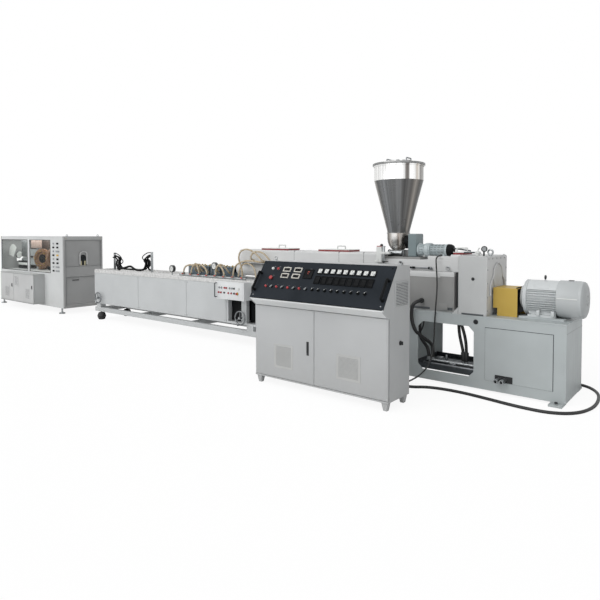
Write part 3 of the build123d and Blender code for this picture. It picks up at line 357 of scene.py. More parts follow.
def reflectionPaintedSteel(name, centre, stops, rough, reflectionStreaks):
    # polished sheet rolled about an upright axis: painted reflections and painted highlights that run up the
    # wall, placed by angle
    material, tree, spot = startMaterial(name)
    around = addNode(tree, "ShaderNodeMapping", {"Location": tuple(-at(*centre))}, {"Vector": spot})
    angle = addNode(tree, "ShaderNodeTexGradient", {"gradient_type": "RADIAL"},
                    {"Vector": around.outputs["Vector"]})
    ramp = addNode(tree, "ShaderNodeValToRGB", None, {"Fac": angle.outputs["Fac"]})
    ramp.color_ramp.elements.remove(ramp.color_ramp.elements[1])
    for number, (share, colour) in enumerate(stops):
        stop = ramp.color_ramp.elements.new(share) if number else ramp.color_ramp.elements[0]
        stop.position, stop.color = share, linearColour(colour)
    fine = addNode(tree, "ShaderNodeTexNoise", {"noise_dimensions": "1D", "Scale": reflectionStreaks, "Detail": 3,
                                                "Roughness": 0.6}, {"W": angle.outputs["Fac"]})
    level = rangeOf(tree, fine.outputs["Fac"], 0.3, 0.7, 0.72, 1.18)
    tone = addNode(tree, "ShaderNodeVectorMath", {"operation": "SCALE"},
                   {0: ramp.outputs["Color"], "Scale": level})
    gloss = rangeOf(tree, noiseOf(tree, spot, 120, 5, 0.6), 0.3, 0.7, rough - 0.06, rough + 0.08)
    shader = addNode(tree, "ShaderNodeBsdfPrincipled", {"Metallic": 0.85},
                     {"Base Color": tone.outputs[0], "Roughness": gloss})
    endMaterial(tree, shader)
    return material


def clearAcrylic(name):
    # window sheet: see-through with a faint tint and smears that dull the gloss
    material, tree, spot = startMaterial(name)
    gloss = rangeOf(tree, noiseOf(tree, spot, 260, 5, 0.6), 0.35, 0.75, 0.02, 0.12)
    shine = addNode(tree, "ShaderNodeBsdfGlossy", {"Color": linearColour("#f2f5f5")}, {"Roughness": gloss})
    through = addNode(tree, "ShaderNodeBsdfTransparent", {"Color": linearColour("#fafbfa")})
    rim = addNode(tree, "ShaderNodeLayerWeight", {"Blend": 0.3})
    share = rangeOf(tree, rim.outputs["Facing"], 0.1, 1.0, 0.01, 0.06)
    mixed = addNode(tree, "ShaderNodeMixShader", None, {0: share, 1: through.outputs[0], 2: shine.outputs[0]})
    endMaterial(tree, mixed)
    return material


def litDigits(name, colour, strength):
    # light-emitting digits behind a filter
    material, tree, spot = startMaterial(name)
    level = rangeOf(tree, noiseOf(tree, spot, 9), 0.0, 1.0, strength * 0.7, strength)
    settings = {"Base Color": linearColour(colour), "Roughness": 0.3, "Emission Color": linearColour(colour)}
    shader = addNode(tree, "ShaderNodeBsdfPrincipled", settings, {"Emission Strength": level})
    endMaterial(tree, shader)
    return material


hopperFoot = (-1932, 0, 0)  # the hopper's upright axis
cabinetEnamel = stovedEnamel("cabinetEnamel", "#b9bbbc", "#b3b5b6")
# a lighter copy of the cabinet paint for the front frame: painted light on the strip under the console's
# overhang
frameEnamelLightened = stovedEnamel("frameEnamelLightened", "#e0e2e2", "#d8dada")
baseEnamel = stovedEnamel("baseEnamel", "#b4bbbc", "#aab0b1", dust=0.15)
motorEnamel = stovedEnamel("motorEnamel", "#cfd3d4", "#c2c6c7", rough=0.4)
# a darker copy of the cowl paint for the cowl's end face: painted shade
cowlEndShadedEnamel = stovedEnamel("cowlEndShadedEnamel", "#aaaeaf", "#a1a5a6", rough=0.45)
cowlEnamel = stovedEnamel("cowlEnamel", "#bcc0c1", "#b2b6b7", rough=0.42)
ventEnamel = stovedEnamel("ventEnamel", "#bcbdbc", "#b4b5b4")
# a lighter copy of the gearbox paint for its end cover and ridges: painted light on the end face
endCoverBrightenedEnamel = stovedEnamel("endCoverBrightenedEnamel", "#c6c7c7", "#bcbdbd", rough=0.46)
gearboxEnamel = stovedEnamel("gearboxEnamel", "#bfc1c1", "#b6b8b8", rough=0.46)
# the barrel cover's paint darkened: painted shade from the cabinet beside it; the same darkened paint goes on
# the feeder trough and the cover's foot box
coverShadedEnamel = stovedEnamel("coverShadedEnamel", "#979796", "#898988", rough=0.5)
paleStrip = stovedEnamel("paleStrip", "#d5d6d6", "#cbcccc")
bonnetEnamel = stovedEnamel("bonnetEnamel", "#d8d9d9", "#cecfcf")
tableEnamel = stovedEnamel("tableEnamel", "#c5c8c9", "#bec1c2")
haulEnamel = stovedEnamel("haulEnamel", "#d3d5d5", "#cbcdcd")
switchSideEnamel = stovedEnamel("switchSideEnamel", "#b4b6b6", "#acaeae")
switchDoorEnamel = stovedEnamel("switchDoorEnamel", "#c4c5c5", "#bbbcbc")
# a darker copy of the haul-off paint for its end panels: painted shade
haulEndShadedEnamel = stovedEnamel("haulEndShadedEnamel", "#a6a7a7", "#9b9c9c")
boxEnamel = stovedEnamel("boxEnamel", "#e2e4e5", "#d9dbdc")
guardYellow = stovedEnamel("guardYellow", "#c3a44b", "#b4953f", rough=0.48)
feederPaint = stovedEnamel("feederPaint", "#7d8b8e", "#6d7a7d", rough=0.4)
feederMotorPaint = stovedEnamel("feederMotorPaint", "#bfc9cb", "#a9b3b6", rough=0.36)
paleRim = bareMetal("paleRim", "#e6e6e5", "#bebebd", rough=0.45, grain=(0.4, 1, 1), fine=14, cloud=45,
                    metallic=0.35)
hopperStainless = bareMetal("hopperStainless", "#a9a9a8", "#8f8f8e", rough=0.24, grain=(1, 1, 6), fine=9,
                            cloud=180, depth=0.08)
# light and dark bands by angle about the hopper's axis on the cone: painted reflections
coneStops = ((0, "#8d8d8c"), (0.08, "#5e5e5e"), (0.11, "#b0aca6"), (0.15, "#787877"), (0.22, "#8e9092"),
             (0.29, "#7c7d7d"), (0.33, "#98999a"), (0.36, "#6a6a6a"), (0.41, "#747372"),
             (0.45, "#9d9892"), (0.5, "#696968"), (0.56, "#5a5a5a"), (0.75, "#8d8d8c"))
hopperCone = reflectionPaintedSteel("hopperCone", hopperFoot, coneStops, 0.3, 34)
# bright and dark bands by angle on the top band: painted reflections and painted highlights
bandStops = ((0, "#e9e9e8"), (0.1, "#d9d9d7"), (0.19, "#f2f2f1"), (0.3, "#fbfbfa"), (0.366, "#fbfbfa"),
             (0.372, "#74706d"), (0.394, "#7a7673"), (0.4, "#fafaf9"), (0.44, "#f4f4f3"),
             (0.455, "#c4bbb0"), (0.475, "#eeece8"), (0.487, "#a09e9b"), (0.55, "#8f8e8b"),
             (0.62, "#dededc"), (0.8, "#efefee"))
hopperBand = reflectionPaintedSteel("hopperBand", hopperFoot, bandStops, 0.22, 46)
traySteel = bareMetal("traySteel", "#4a4f52", "#33373a", rough=0.5, cloud=60, metallic=0.6)
# bands by angle on the bowl, bright towards the left: painted highlight and painted reflections
bowlStops = ((0, "#a5a5a4"), (0.1, "#8e8d8b"), (0.17, "#86817b"), (0.21, "#cfccc7"), (0.25, "#f6f5f3"),
             (0.3, "#dedbd7"), (0.33, "#8f857c"), (0.36, "#c9c5c0"), (0.4, "#a19c96"), (0.45, "#8d8985"),
             (0.52, "#75726f"), (0.7, "#9a9a99"))
hopperBowl = reflectionPaintedSteel("hopperBowl", hopperFoot, bowlStops, 0.26, 40)
dieSteel = bareMetal("dieSteel", "#8a8d90", "#74777a", rough=0.38)
zincPipe = bareMetal("zincPipe", "#b5b8b9", "#969a9c", rough=0.36, cloud=25)
chromePlate = bareMetal("chromePlate", "#8d9092", "#7d8082", rough=0.16, depth=0.03)
calibratorSteel = bareMetal("calibratorSteel", "#6d7c86", "#56646d", rough=0.42, grain=(0.1, 1, 1),
                            metallic=0.7)
sawBronze = bareMetal("sawBronze", "#8a6648", "#5f4430", rough=0.45, metallic=0.3, cloud=60)
brassFitting = bareMetal("brassFitting", "#b39a5a", "#947d44", rough=0.3)
consoleLaminate = mouldedPlastic("consoleLaminate", "#262b31", "#21262b", rough=0.6, grain=1.6,
                                 depth=0.05, cloud=300, ior=1.2)
umberPlate = mouldedPlastic("umberPlate", "#54453d", "#463a33", rough=0.5)
rosePlate = mouldedPlastic("rosePlate", "#b8a398", "#a89085", rough=0.5)
lineGrey = mouldedPlastic("lineGrey", "#7f8283", "#747778", rough=0.5)
mattBlack = mouldedPlastic("mattBlack", "#111315", "#0c0e0f", rough=0.6, ior=1.22)
blackPlastic = mouldedPlastic("blackPlastic", "#1d1f21", "#17181a", rough=0.38)
darkGrey = mouldedPlastic("darkGrey", "#55595c", "#4a4e51", rough=0.5)
greyPlastic = mouldedPlastic("greyPlastic", "#9b9fa1", "#8c9092", rough=0.42)
whitePlastic = mouldedPlastic("whitePlastic", "#e4e6e4", "#d8dad8", rough=0.36)
beigeBezel = mouldedPlastic("beigeBezel", "#dad7cf", "#cecbc2", rough=0.45)
lidRed = mouldedPlastic("lidRed", "#8f3133", "#7b2628", rough=0.5)
redPlastic = mouldedPlastic("redPlastic", "#b8363a", "#98292d", rough=0.4)
creamPlastic = mouldedPlastic("creamPlastic", "#d6cfae", "#c6bd98", rough=0.4)
yellowPlastic = mouldedPlastic("yellowPlastic", "#d8b23c", "#c49d2e", rough=0.4)
blackRubber = mouldedPlastic("blackRubber", "#1f2021", "#2a2b2b", rough=0.62, grain=1.5, depth=0.2)
cableSheath = mouldedPlastic("cableSheath", "#191a1b", "#262727", rough=0.5, grain=3, depth=0.15, cloud=90)
tanHose = mouldedPlastic("tanHose", "#c6bba6", "#a08a66", rough=0.4, grain=3, depth=0.2, cloud=40)
bellowsCloth = mouldedPlastic("bellowsCloth", "#45474a", "#36383b", rough=0.7, grain=2, depth=0.3)
windowAcrylic = clearAcrylic("windowAcrylic")
redDigits = litDigits("redDigits", "#b5473a", 0.25)
print("materials made")


# free cables: the same route points as the solids, in mm
floorCable = {"radius": 15, "length": 3.97, "points": (
    (-1500, -1120, 130), (-1500, -1000, 130), (-1455, -850, 60), (-1388, -700, 15), (-1250, -580, 15),
    (-960, -545, 15), (-660, -590, 15), (-340, -655, 15), (-60, -660, 15), (130, -530, 15), (215, -280, 15),
    (215, 20, 15), (160, 310, 15), (0, 520, 15), (-330, 530, 15), (-620, 430, 60), (-790, 345, 112))}
feederCable = {"radius": 8, "length": 1.95, "points": (
    (-1335, -110, 1372), (-1335, -252, 1372), (-1312, -288, 1250), (-1301, -294, 1143), (-1291, -308, 1024),
    (-1288, -345, 848), (-1296, -356, 650), (-1293, -372, 470), (-1287, -430, 300),
    (-1279, -560, 209), (-1304, -700, 145), (-1344, -880, 112), (-1390, -1030, 106), (-1390, -1120, 106))}
for name, cable, lay in (("floor_cable_line", floorCable, "loose"),
                         ("feeder_cable_line", feederCable, "hanging")):
    line = splineCurve(name, [at(*point) for point in cable["points"]], cable["radius"], rings=5, steps=12)
    line.data.materials.append(cableSheath)
    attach(line, "line")
    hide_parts(name.replace("_line", ""))
glands = [rod((-1500, -1090, 130), (-1500, -1120, 130), 24, edge=3),
          rod((-1390, -1090, 106), (-1390, -1118, 106), 15, edge=2),
          rod((-1335, -109, 1372), (-1335, -128, 1372), 13, edge=2),
          rod((-790, 330, 112), (-790, 352, 112), 25, edge=3)]
finishPiece(glands, "cable_glands", blackPlastic)
print("cables laid")


# the solids that keep their shape: a finish, and soft edges from modifiers
def paintNode(name, material, edge):
    piece = nodes[name]
    for holder in piece.material_slots:
        holder.material = material
    for polygon in piece.data.polygons:
        polygon.use_smooth = True
    weld = piece.modifiers.new("weld", "WELD")
    weld.merge_threshold = 0.00002
    if edge:
        flat = piece.modifiers.new("flat", "DECIMATE")
        flat.decimate_type = "DISSOLVE"
        flat.angle_limit = math.radians(0.4)
        bevel = piece.modifiers.new("edges", "BEVEL")
        bevel.width = edge / 1000
        bevel.segments = 2
        bevel.limit_method = "ANGLE"
        bevel.angle_limit = math.radians(35)
    split = piece.modifiers.new("split", "EDGE_SPLIT")
    split.split_angle = math.radians(32)
    shade = piece.modifiers.new("shade", "WEIGHTED_NORMAL")
    shade.keep_sharp = True


nodeFinishes = {"base_side_plates": (baseEnamel, 3), "base_deck": (baseEnamel, 3),
                "base_cross_plates": (baseEnamel, 2), "base_floor_tray": (traySteel, 1),
                "base_foot_pads": (baseEnamel, 2), "access_covers": (baseEnamel, 1.5),
                "water_pipework": (zincPipe, 0), "motor_frame": (motorEnamel, 0),
                "drive_coupling": (dieSteel, 2), "coupling_guard": (guardYellow, 2),
                "gearbox_housing": (gearboxEnamel, 0), "barrel_cover": (coverShadedEnamel, 2),
                "cover_bellows": (bellowsCloth, 2), "barrel_bonnet": (bonnetEnamel, 2),
                "die_head": (paleStrip, 3), "feeder_trough": (coverShadedEnamel, 2),
                "feeder_gearbox": (feederPaint, 0), "cabinet_sides": (cabinetEnamel, 2),
                "cabinet_back": (cabinetEnamel, 2), "cabinet_top_and_floor": (cabinetEnamel, 2),
                "cabinet_front_frame": (frameEnamelLightened, 3), "console_panel": (consoleLaminate, 2),
                "cabinet_door_left": (cabinetEnamel, 3), "cabinet_door_right": (cabinetEnamel, 3),
                "table_body": (tableEnamel, 2), "table_panels": (tableEnamel, 1.5),
                "table_top": (paleRim, 2), "table_rails": (tableEnamel, 3),
                "handwheel_left": (chromePlate, 0), "handwheel_right": (chromePlate, 0),
                "table_control_box": (boxEnamel, 3), "calibrators": (calibratorSteel, 2),
                "water_manifold": (zincPipe, 0), "haul_off_end_panels": (haulEndShadedEnamel, 2),
                "haul_off_roof_and_deck": (haulEnamel, 2), "haul_off_back_panel": (haulEnamel, 2),
                "haul_off_front_frame": (haulEnamel, 2), "haul_off_windows": (windowAcrylic, 0),
                "switch_cabinet": (switchSideEnamel, 2), "switch_door_left": (switchDoorEnamel, 2),
                "switch_door_right": (switchDoorEnamel, 2), "saw_ring": (sawBronze, 3),
                "pulling_tracks": (greyPlastic, 0), "inlet_rollers": (creamPlastic, 1),
                "haul_off_feet": (zincPipe, 1)}
for name, (material, edge) in nodeFinishes.items():
    paintNode(name, material, edge)
print("solids finished")


# control cabinet
doorDetail = {"face": -1525, "leftVent": (-2565, -2306, 204, 456), "rightVent": (-1762, -1487, 214, 460),
              "holePitch": 11, "holeSize": 5.5, "proud": 4, "latchX": -2114, "latchLow": 387,
              "latchHigh": 526}


def ventPlate(x0, x1, z0, z1, face, name, body, slot, plate, pitch, hole, proud):
    # a pressed cover with a stepped rim, and rows of punched holes shown as dark studs just under its face
    cover = block((x0, face - proud, z0), (x1, face + 1, z1), edge=0)
    insetFaces(cover, Vector(toFront), ((4, 0), (2, -1.5)))
    softenEdges(cover, 1)
    finishPiece(cover, name + "_cover", plate, body)
    # one hole modelled, then copied along staggered rows
    columns = int((x1 - x0 - 40) / pitch)
    rows = int((z1 - z0 - 40) / pitch)
    firstX = (x0 + x1) / 2 - (columns - 1) * pitch / 2
    firstZ = (z0 + z1) / 2 - (rows - 1) * pitch / 2
    depth = face - proud + 1
    holes = []
    stud = rod((firstX, depth, firstZ), (firstX, depth + 1.5, firstZ), hole / 2, edge=0, sides=8)
    for row in range(rows):
        for column in range(columns):
            shift = pitch / 2 if row % 2 else 0
            if column == columns - 1 and row % 2:
                continue
            holes.append(copyPiece(stud, (column * pitch + shift, 0, row * pitch)))
    bpy.data.objects.remove(stud)
    finishPiece(holes, name + "_holes", darkGrey, body)


for name, body, key in (("door_vent_left", "left_cabinet_door", "leftVent"),
                        ("door_vent_right", "right_cabinet_door", "rightVent")):
    ventPlate(*doorDetail[key], doorDetail["face"], name, body, "cabinet_paint", ventEnamel,
              doorDetail["holePitch"], doorDetail["holeSize"], doorDetail["proud"])
latchX, latchLow, latchHigh, face = (doorDetail[k] for k in ("latchX", "latchLow", "latchHigh", "face"))
latch = [block((latchX - 15, face - 5, latchLow), (latchX + 15, face + 1, latchHigh), edge=4),
         block((latchX - 9, face - 12, latchLow + 34), (latchX + 9, face - 3, latchHigh - 8), edge=4),
         rod((latchX, face - 4, latchLow + 17), (latchX, face - 11, latchLow + 17), 10, edge=1.5)]
finishPiece(latch, "door_latch", blackPlastic, "left_cabinet_door")
keyway = [rod((latchX, face - 10, latchLow + 17), (latchX, face - 12.5, latchLow + 17), 6, edge=0.8),
          block((latchX - 1, face - 13, latchLow + 13), (latchX + 1, face - 12, latchLow + 21), edge=0.2)]
finishPiece(keyway, "door_latch_lock", chromePlate, "left_cabinet_door")
for name, body, x0, x1 in (("left", "left_cabinet_door", -2820, -2042),
                           ("right", "right_cabinet_door", -2026, -1215)):
    # a folded return along the door's free edges, seen as a fine step
    fold = softenEdges(block((x0, face - 1.6, 108), (x1, face + 0.5, 835), edge=0), 1.4, segments=3)
    finishPiece(fold, "door_skin_" + name, cabinetEnamel, body)

legs = []
legLow, legHigh = (linePlace.inverted() @ corner * 1000 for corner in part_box("cabinet_feet"))
for x in (legLow.x + 34, legHigh.x - 34):
    for y in (legLow.y + 34, legHigh.y - 34):
        legs.append(turnPiece(rod((x, y, legHigh.z), (x, y, 0), 46, edge=3, sides=4, tip=27), 45, "Z",
                              (x, y, 0)))
legs = finishPiece(legs, "cabinet_legs", cabinetEnamel)
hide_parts("cabinet_feet")

sideGrille = {"x": -1198, "y": (-1406, -1149), "z": (934, 1170), "slats": 15}
grilleX, rimY, rimZ = (sideGrille[key] for key in ("x", "y", "z"))
gap = (rimZ[1] - rimZ[0] - 24) / sideGrille["slats"]
slats = []
for number in range(sideGrille["slats"]):
    z = rimZ[0] + 12 + gap * (number + 0.5)
    slat = block((grilleX, rimY[0] + 12, z - gap * 0.3), (grilleX + 7, rimY[1] - 12, z + gap * 0.3), edge=1.5)
    slats.append(turnPiece(slat, -18, "Y", (grilleX + 4, 0, z)))
for y0, y1, z0, z1 in ((rimY[0], rimY[1], rimZ[0], rimZ[0] + 12),
                       (rimY[0], rimY[1], rimZ[1] - 12, rimZ[1]),
                       (rimY[0], rimY[0] + 12, rimZ[0] + 10, rimZ[1] - 10),
                       (rimY[1] - 12, rimY[1], rimZ[0] + 10, rimZ[1] - 10)):
    slats.append(block((grilleX - 1, y0, z0), (grilleX + 8, y1, z1), edge=2))
finishPiece(slats, "cabinet_side_grille", cabinetEnamel)
grilleBack = block((grilleX - 0.5, rimY[0] + 6, rimZ[0] + 6), (grilleX + 1.5, rimY[1] - 6, rimZ[1] - 6),
                   edge=0.3)
finishPiece(grilleBack, "cabinet_side_grille_back", darkGrey)
sideLock = [rod((-1198, -1302, 597), (-1190, -1302, 597), 22, edge=2),
            rod((-1191, -1302, 597), (-1176, -1302, 597), 15, edge=2),
            block((-1180, -1307, 580), (-1168, -1297, 614), edge=2)]
finishPiece(sideLock, "cabinet_side_lock", blackPlastic)
rings = []
for x in (-1237, -2798):
    rings.append(rod((x, -1230, 1314), (x, -1230, 1326), 15, edge=2))
    rings.append(ringBar((x, -1230, 1340), 17, 17, 4.5))
finishPiece(rings, "cabinet_lifting_rings", zincPipe)

# sloping console: pieces drawn flat, then laid on the slope
consolePlace = (linePlace @ Matrix.Translation((-2.837, -1.613, 0.928))
                @ Matrix.Rotation(math.radians(56.55), 4, "X") @ Matrix.Translation((0, 0, 0.008)))
consoleOut = (consolePlace.to_3x3() @ Vector((0, 0, 1))).normalized()
console = {"width": 1639, "run": 462.6, "bezelX": (0.227, 0.318), "bezelY": (0.611, 0.773),
           "bezelSize": (100, 52), "displayX": 0.409, "displayY": 0.69, "displaySize": (112, 105),
           "meterY": 0.783, "gripX": (32, 1607), "gripY": (0.2, 0.64), "controllerY": 0.555,
           "controllerSize": (66, 88), "columns": (0.493, 0.542, 0.589, 0.635, 0.680, 0.727, 0.775,
                                                   0.821, 0.868),
           "knobs": (0.106, 0.153, 0.197, 0.244, 0.291, 0.338, 0.384, 0.433, 0.484, 0.530, 0.577, 0.624,
                     0.669, 0.716, 0.763, 0.811, 0.857), "knobY": 0.312, "lampX": (0.106, 0.151),
           "lampY": 0.78, "stopX": 0.121, "stopY": 0.535}


def onConsole(shareX, shareY):
    return shareX * console["width"], shareY * console["run"]


def plate(x, y, width, height, low, high, edge=1.5):
    return block((x - width / 2, y - height / 2, low), (x + width / 2, y + height / 2, high), edge=edge,
                 place=consolePlace)


def turned(profile, x, y, sides=24):
    return lathe(profile, (x, y, 0), sides=sides, place=consolePlace)


def frameOf(x, y, width, height, rim, low, high):
    # a bezel ring: its face inset and sunk
    piece = plate(x, y, width, height, low, high, edge=0)
    insetFaces(piece, consoleOut, ((rim, 0), (1, (low - high) * 0.55)))
    return softenEdges(piece, 1.2)


segments = {"a": (0, 1, True), "b": (0.5, 0.5, False), "c": (0.5, -0.5, False), "d": (0, -1, True),
            "e": (-0.5, -0.5, False), "f": (-0.5, 0.5, False), "g": (0, 0, True)}
figures = {"0": "abcdef", "2": "abged", "4": "fgbc", "5": "afgcd", "6": "afgedc"}


def digitsAt(x, y, text, height, level):
    # seven-segment figures from thin bars
    bars = []
    wide = height * 0.5
    for number, figure in enumerate(text):
        centre = x + (number - (len(text) - 1) / 2) * height * 0.78
        for key in figures[figure]:
            dx, dy, flat = segments[key]
            w, h = (wide * 0.8, height * 0.1) if flat else (height * 0.1, height * 0.4)
            bars.append(plate(centre + dx * wide, y + dy * height / 2, w, h, level, level + 0.8, edge=0))
    return bars


beige, dark, digits, white, black, grey, red, chrome, labels = ([] for _ in range(9))
for shareX in console["bezelX"]:
    for shareY in console["bezelY"]:
        x, y = onConsole(shareX, shareY)
        beige.append(frameOf(x, y, *console["bezelSize"], 8, 0, 12))
        dark.append(plate(x, y, 83, 35, 4, 6, edge=0.5))
        labels.append(plate(x - 10, y + 37, 38, 7, 0, 0.8, edge=0.2))
x, y = onConsole(console["displayX"], console["displayY"])
black.append(frameOf(x, y, *console["displaySize"], 9, 0, 12))
digits += digitsAt(x - 4, y + 24, "260", 13, 6)
digits += digitsAt(x - 4, y + 2, "045", 8, 6)
labels.append(plate(x + 12, y + 60, 26, 7, 0, 0.8, edge=0.2))
for shareX in console["columns"]:
    x, y = onConsole(shareX, console["meterY"])
    black.append(frameOf(x, y - 4, 62, 62, 3, 0, 10))
    white.append(plate(x - 3, y, 46, 46, 3, 7, edge=1))
    # a grey patch at the lower right of each meter face: painted shade
    grey.append(plate(x + 12, y - 12, 14, 20, 6.5, 7.6, edge=0.3))
    black.append(plate(x - 5, y + 2, 1.6, 26, 7, 8.2, edge=0))
    x, y = onConsole(shareX, console["controllerY"])
    black.append(frameOf(x, y, *console["controllerSize"], 5, 0, 12))
    dark.append(plate(x, y + 18, 50, 30, 5, 7, edge=0.5))
    for column in range(4):
        dark.append(plate(x - 20 + column * 13.3, y - 28, 8, 6, 5, 8, edge=1))
for number, shareX in enumerate(console["knobs"]):
    x, y = onConsole(shareX, console["knobY"])
    target = black if number > 7 else (grey if number % 2 else red)
    if number > 7 or number % 2:
        black.append(turned([(0, 0), (14, 0), (14, 9), (13, 12), (0, 12)], x, y, sides=20))
        lever = block((x - 5, y - 15, 10), (x + 5, y + 15, 23), edge=2.5, place=consolePlace)
        target.append(turnPiece(lever, -38, consoleOut, (x, y, 0), consolePlace))
        if number > 7:
            # a white pointer line on each black lever, which is also its painted highlight
            mark = block((x - 1.6, y - 2, 22.6), (x + 1.6, y + 14, 23.6), edge=0, place=consolePlace)
            white.append(turnPiece(mark, -38, consoleOut, (x, y, 0), consolePlace))
    else:
        chrome.append(turned([(9, 0), (14, 0), (14, 3), (13, 5), (9, 5), (9, 0)], x, y))
        target.append(turned([(0, 3), (12, 3), (12, 16), (10, 20), (0, 21)], x, y))
    labels.append(plate(x + 2, y + 27, 17, 4, 0, 0.8, edge=0.2))
for number, shareX in enumerate(console["lampX"]):
    x, y = onConsole(shareX, console["lampY"])
    chrome.append(turned([(12, 0), (19, 0), (19, 3), (17, 6), (12, 6), (12, 0)], x, y))
    (red if number else white).append(turned([(0, 3), (15, 3), (15, 12), (13, 18), (8, 22), (0, 23)], x, y))
    labels.append(plate(x + 8, y + 28, 24, 8, 0, 0.8, edge=0.2))
x, y = onConsole(console["stopX"], console["stopY"])
red.append(turned([(0, 4), (14, 4), (14, 13), (20, 14), (22, 18), (20, 22), (12, 24), (0, 24)], x, y,
                  sides=32))
chrome.append(turned([(15, 0), (21, 0), (21, 4), (15, 4), (15, 0)], x, y))
labels.append(plate(x + 14, y + 34, 24, 8, 0, 0.8, edge=0.2))
for shareX in (0.022, 0.978):
    for shareY in (0.08, 0.93):
        x, y = onConsole(shareX, shareY)
        (chrome if shareY < 0.5 else black).append(turned([(0, 0), (8, 0), (7, 2.5), (5, 4), (0, 4.2)],
                                                          x, y, sides=20))
mainPiece = finishPiece(beige, "console_bezels", beigeBezel)
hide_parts("console_instruments")
for group, name, material in ((dark, "console_dark_windows", mattBlack),
                              (digits, "console_digits", redDigits),
                              (white, "console_meter_faces", whitePlastic),
                              (black, "console_black_controls", mattBlack),
                              (grey, "console_grey_levers", greyPlastic),
                              (red, "console_red_buttons", redPlastic),
                              (chrome, "console_rings_and_screws", chromePlate),
                              (labels, "console_blank_labels", darkGrey)):
    finishPiece(group, name, material)
low, high = (share * console["run"] for share in console["gripY"])
for side, end in zip(("left", "right"), console["gripX"]):
    grip = [rod((end, y, 0), (end, y, 9), 16, edge=2, place=consolePlace) for y in (low, high)]
    route = [(end, low, 0), (end, low, 26), (end, low, 42), (end, low + 18, 42), (end, (low + high) / 2, 42),
             (end, high - 18, 42), (end, high, 42), (end, high, 26), (end, high, 0)]
    grip.append(bentBar(route, 13, place=consolePlace))
    finishPiece(grip, "console_grip_" + side, mattBlack)
print("control cabinet done")


# main motor
motor = {"axis": 968, "cowlX": -135, "boltRing": 158}
cowlSpot = (motor["cowlX"], 0, motor["axis"])
cowl = lathe([(0, -3), (179, -3), (183, 1), (183, 186), (180, 190), (180, 196), (181, 198), (178, 214),
              (0, 214)], cowlSpot, axis=alongLine, sides=96)
# the end cap, finished in the darker cowl paint: painted shade
cowlEnd = lathe([(178, 214), (168, 228), (146, 238), (90, 243), (0, 245)], cowlSpot, axis=alongLine, sides=96)
finishPiece(cowlEnd, "motor_cowl_end", cowlEndShadedEnamel)
cowl = finishPiece(cowl, "motor_cowl_shell", cowlEnamel)
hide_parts("motor_fan_cowl")
slots = []
for ring, count in ((44, 10), (74, 16), (104, 22)):
    for number in range(count):
        angle = 2 * math.pi * number / count
        y, z = ring * math.cos(angle), motor["axis"] + ring * math.sin(angle)
        spot = block((105 - (ring / 55) ** 2, y - 4, z - 8), (110 - (ring / 55) ** 2, y + 4, z + 8), edge=0)
        slots.append(turnPiece(spot, math.degrees(angle), "X", (105, y, z)))
finishPiece(slots, "motor_cowl_slots", darkGrey)
bellBolts = []
for number in range(8):
    angle = number * math.pi / 4 + 0.39
    bellBolts.append((-447, motor["boltRing"] * math.cos(angle),
                      motor["axis"] + motor["boltRing"] * math.sin(angle)))
boltHeads(bellBolts, (-1, 0, 0), 11, "motor_bell_bolts", zincPipe)
rings = [lathe([(160, 0), (172, 0), (177, 3), (177, 11), (172, 14), (160, 14), (160, 0)],
               (x, 0, motor["axis"]), axis=alongLine, sides=72) for x in (-446, -428)]
# a white strip along the cowl's seam: painted highlight
finishPiece(block((-128, -187, 983), (52, -180, 992), edge=2), "motor_cowl_seam_highlight", whitePlastic)
finishPiece(rings, "motor_bell_rings", motorEnamel)
finishPiece(block((-58, -22, 1146), (-12, 22, 1156), edge=3), "motor_cowl_plug", blackPlastic)
finishPiece(ringBar((-274, 0, 1173), 16, 16, 8, along="y"), "motor_eye_ring", blackPlastic)
finishPiece(block((-512, -150, 800), (-506, 150, 1066), edge=0), "guard_inner_shade", mattBlack)
hips = []
for side in (-1, 1):
    hips += [turnPiece(block((-411, -6, 1136), (-137, 6, 1145), edge=0), side * (32 + 2.5 * k), "X",
                       (0, 0, motor["axis"])) for k in range(11)]
    hips += [turnPiece(block((-352, -5, 1140), (-205, 5, 1148), edge=0.6), side * (40 + 2.5 * k), "X",
                       (0, 0, motor["axis"])) for k in range(6)]
finishPiece(hips, "motor_hips", motorEnamel, angle=30)
lugs = [block((x - 15, side * 138, 800), (x + 15, side * 172, 858), edge=5) for x in (-300, -165)
        for side in (-1, 1)]
finishPiece(lugs, "motor_foot_lugs", motorEnamel)
boltHeads([(x, y, 809) for x in (-380, -168) for y in (-137, 137)], (0, 0, 1), 12, "motor_foot_bolts",
          zincPipe)
print("main motor done")


# gearbox and base
gaugeAxis = (0.25, -1, 0)
boltHeads([(x, y, 1381) for x in (-1035, -908, -780) for y in (-285, 285)], (0, 0, 1), 11,
          "gearbox_top_bolts", gearboxEnamel)
ridgeLine = ((30, 1300), (90, 1275), (124, 1225), (128, 1180), (150, 1150), (205, 1110), (226, 1050),
             (222, 970))
ridges = []
for side in (-1, 1):
    ridges.append(bentBar([(-747, side * y, z) for y, z in ridgeLine], 8))
ridges.append(bentBar([(-747, -30, 1300), (-747, 0, 1304), (-747, 30, 1300)], 8))
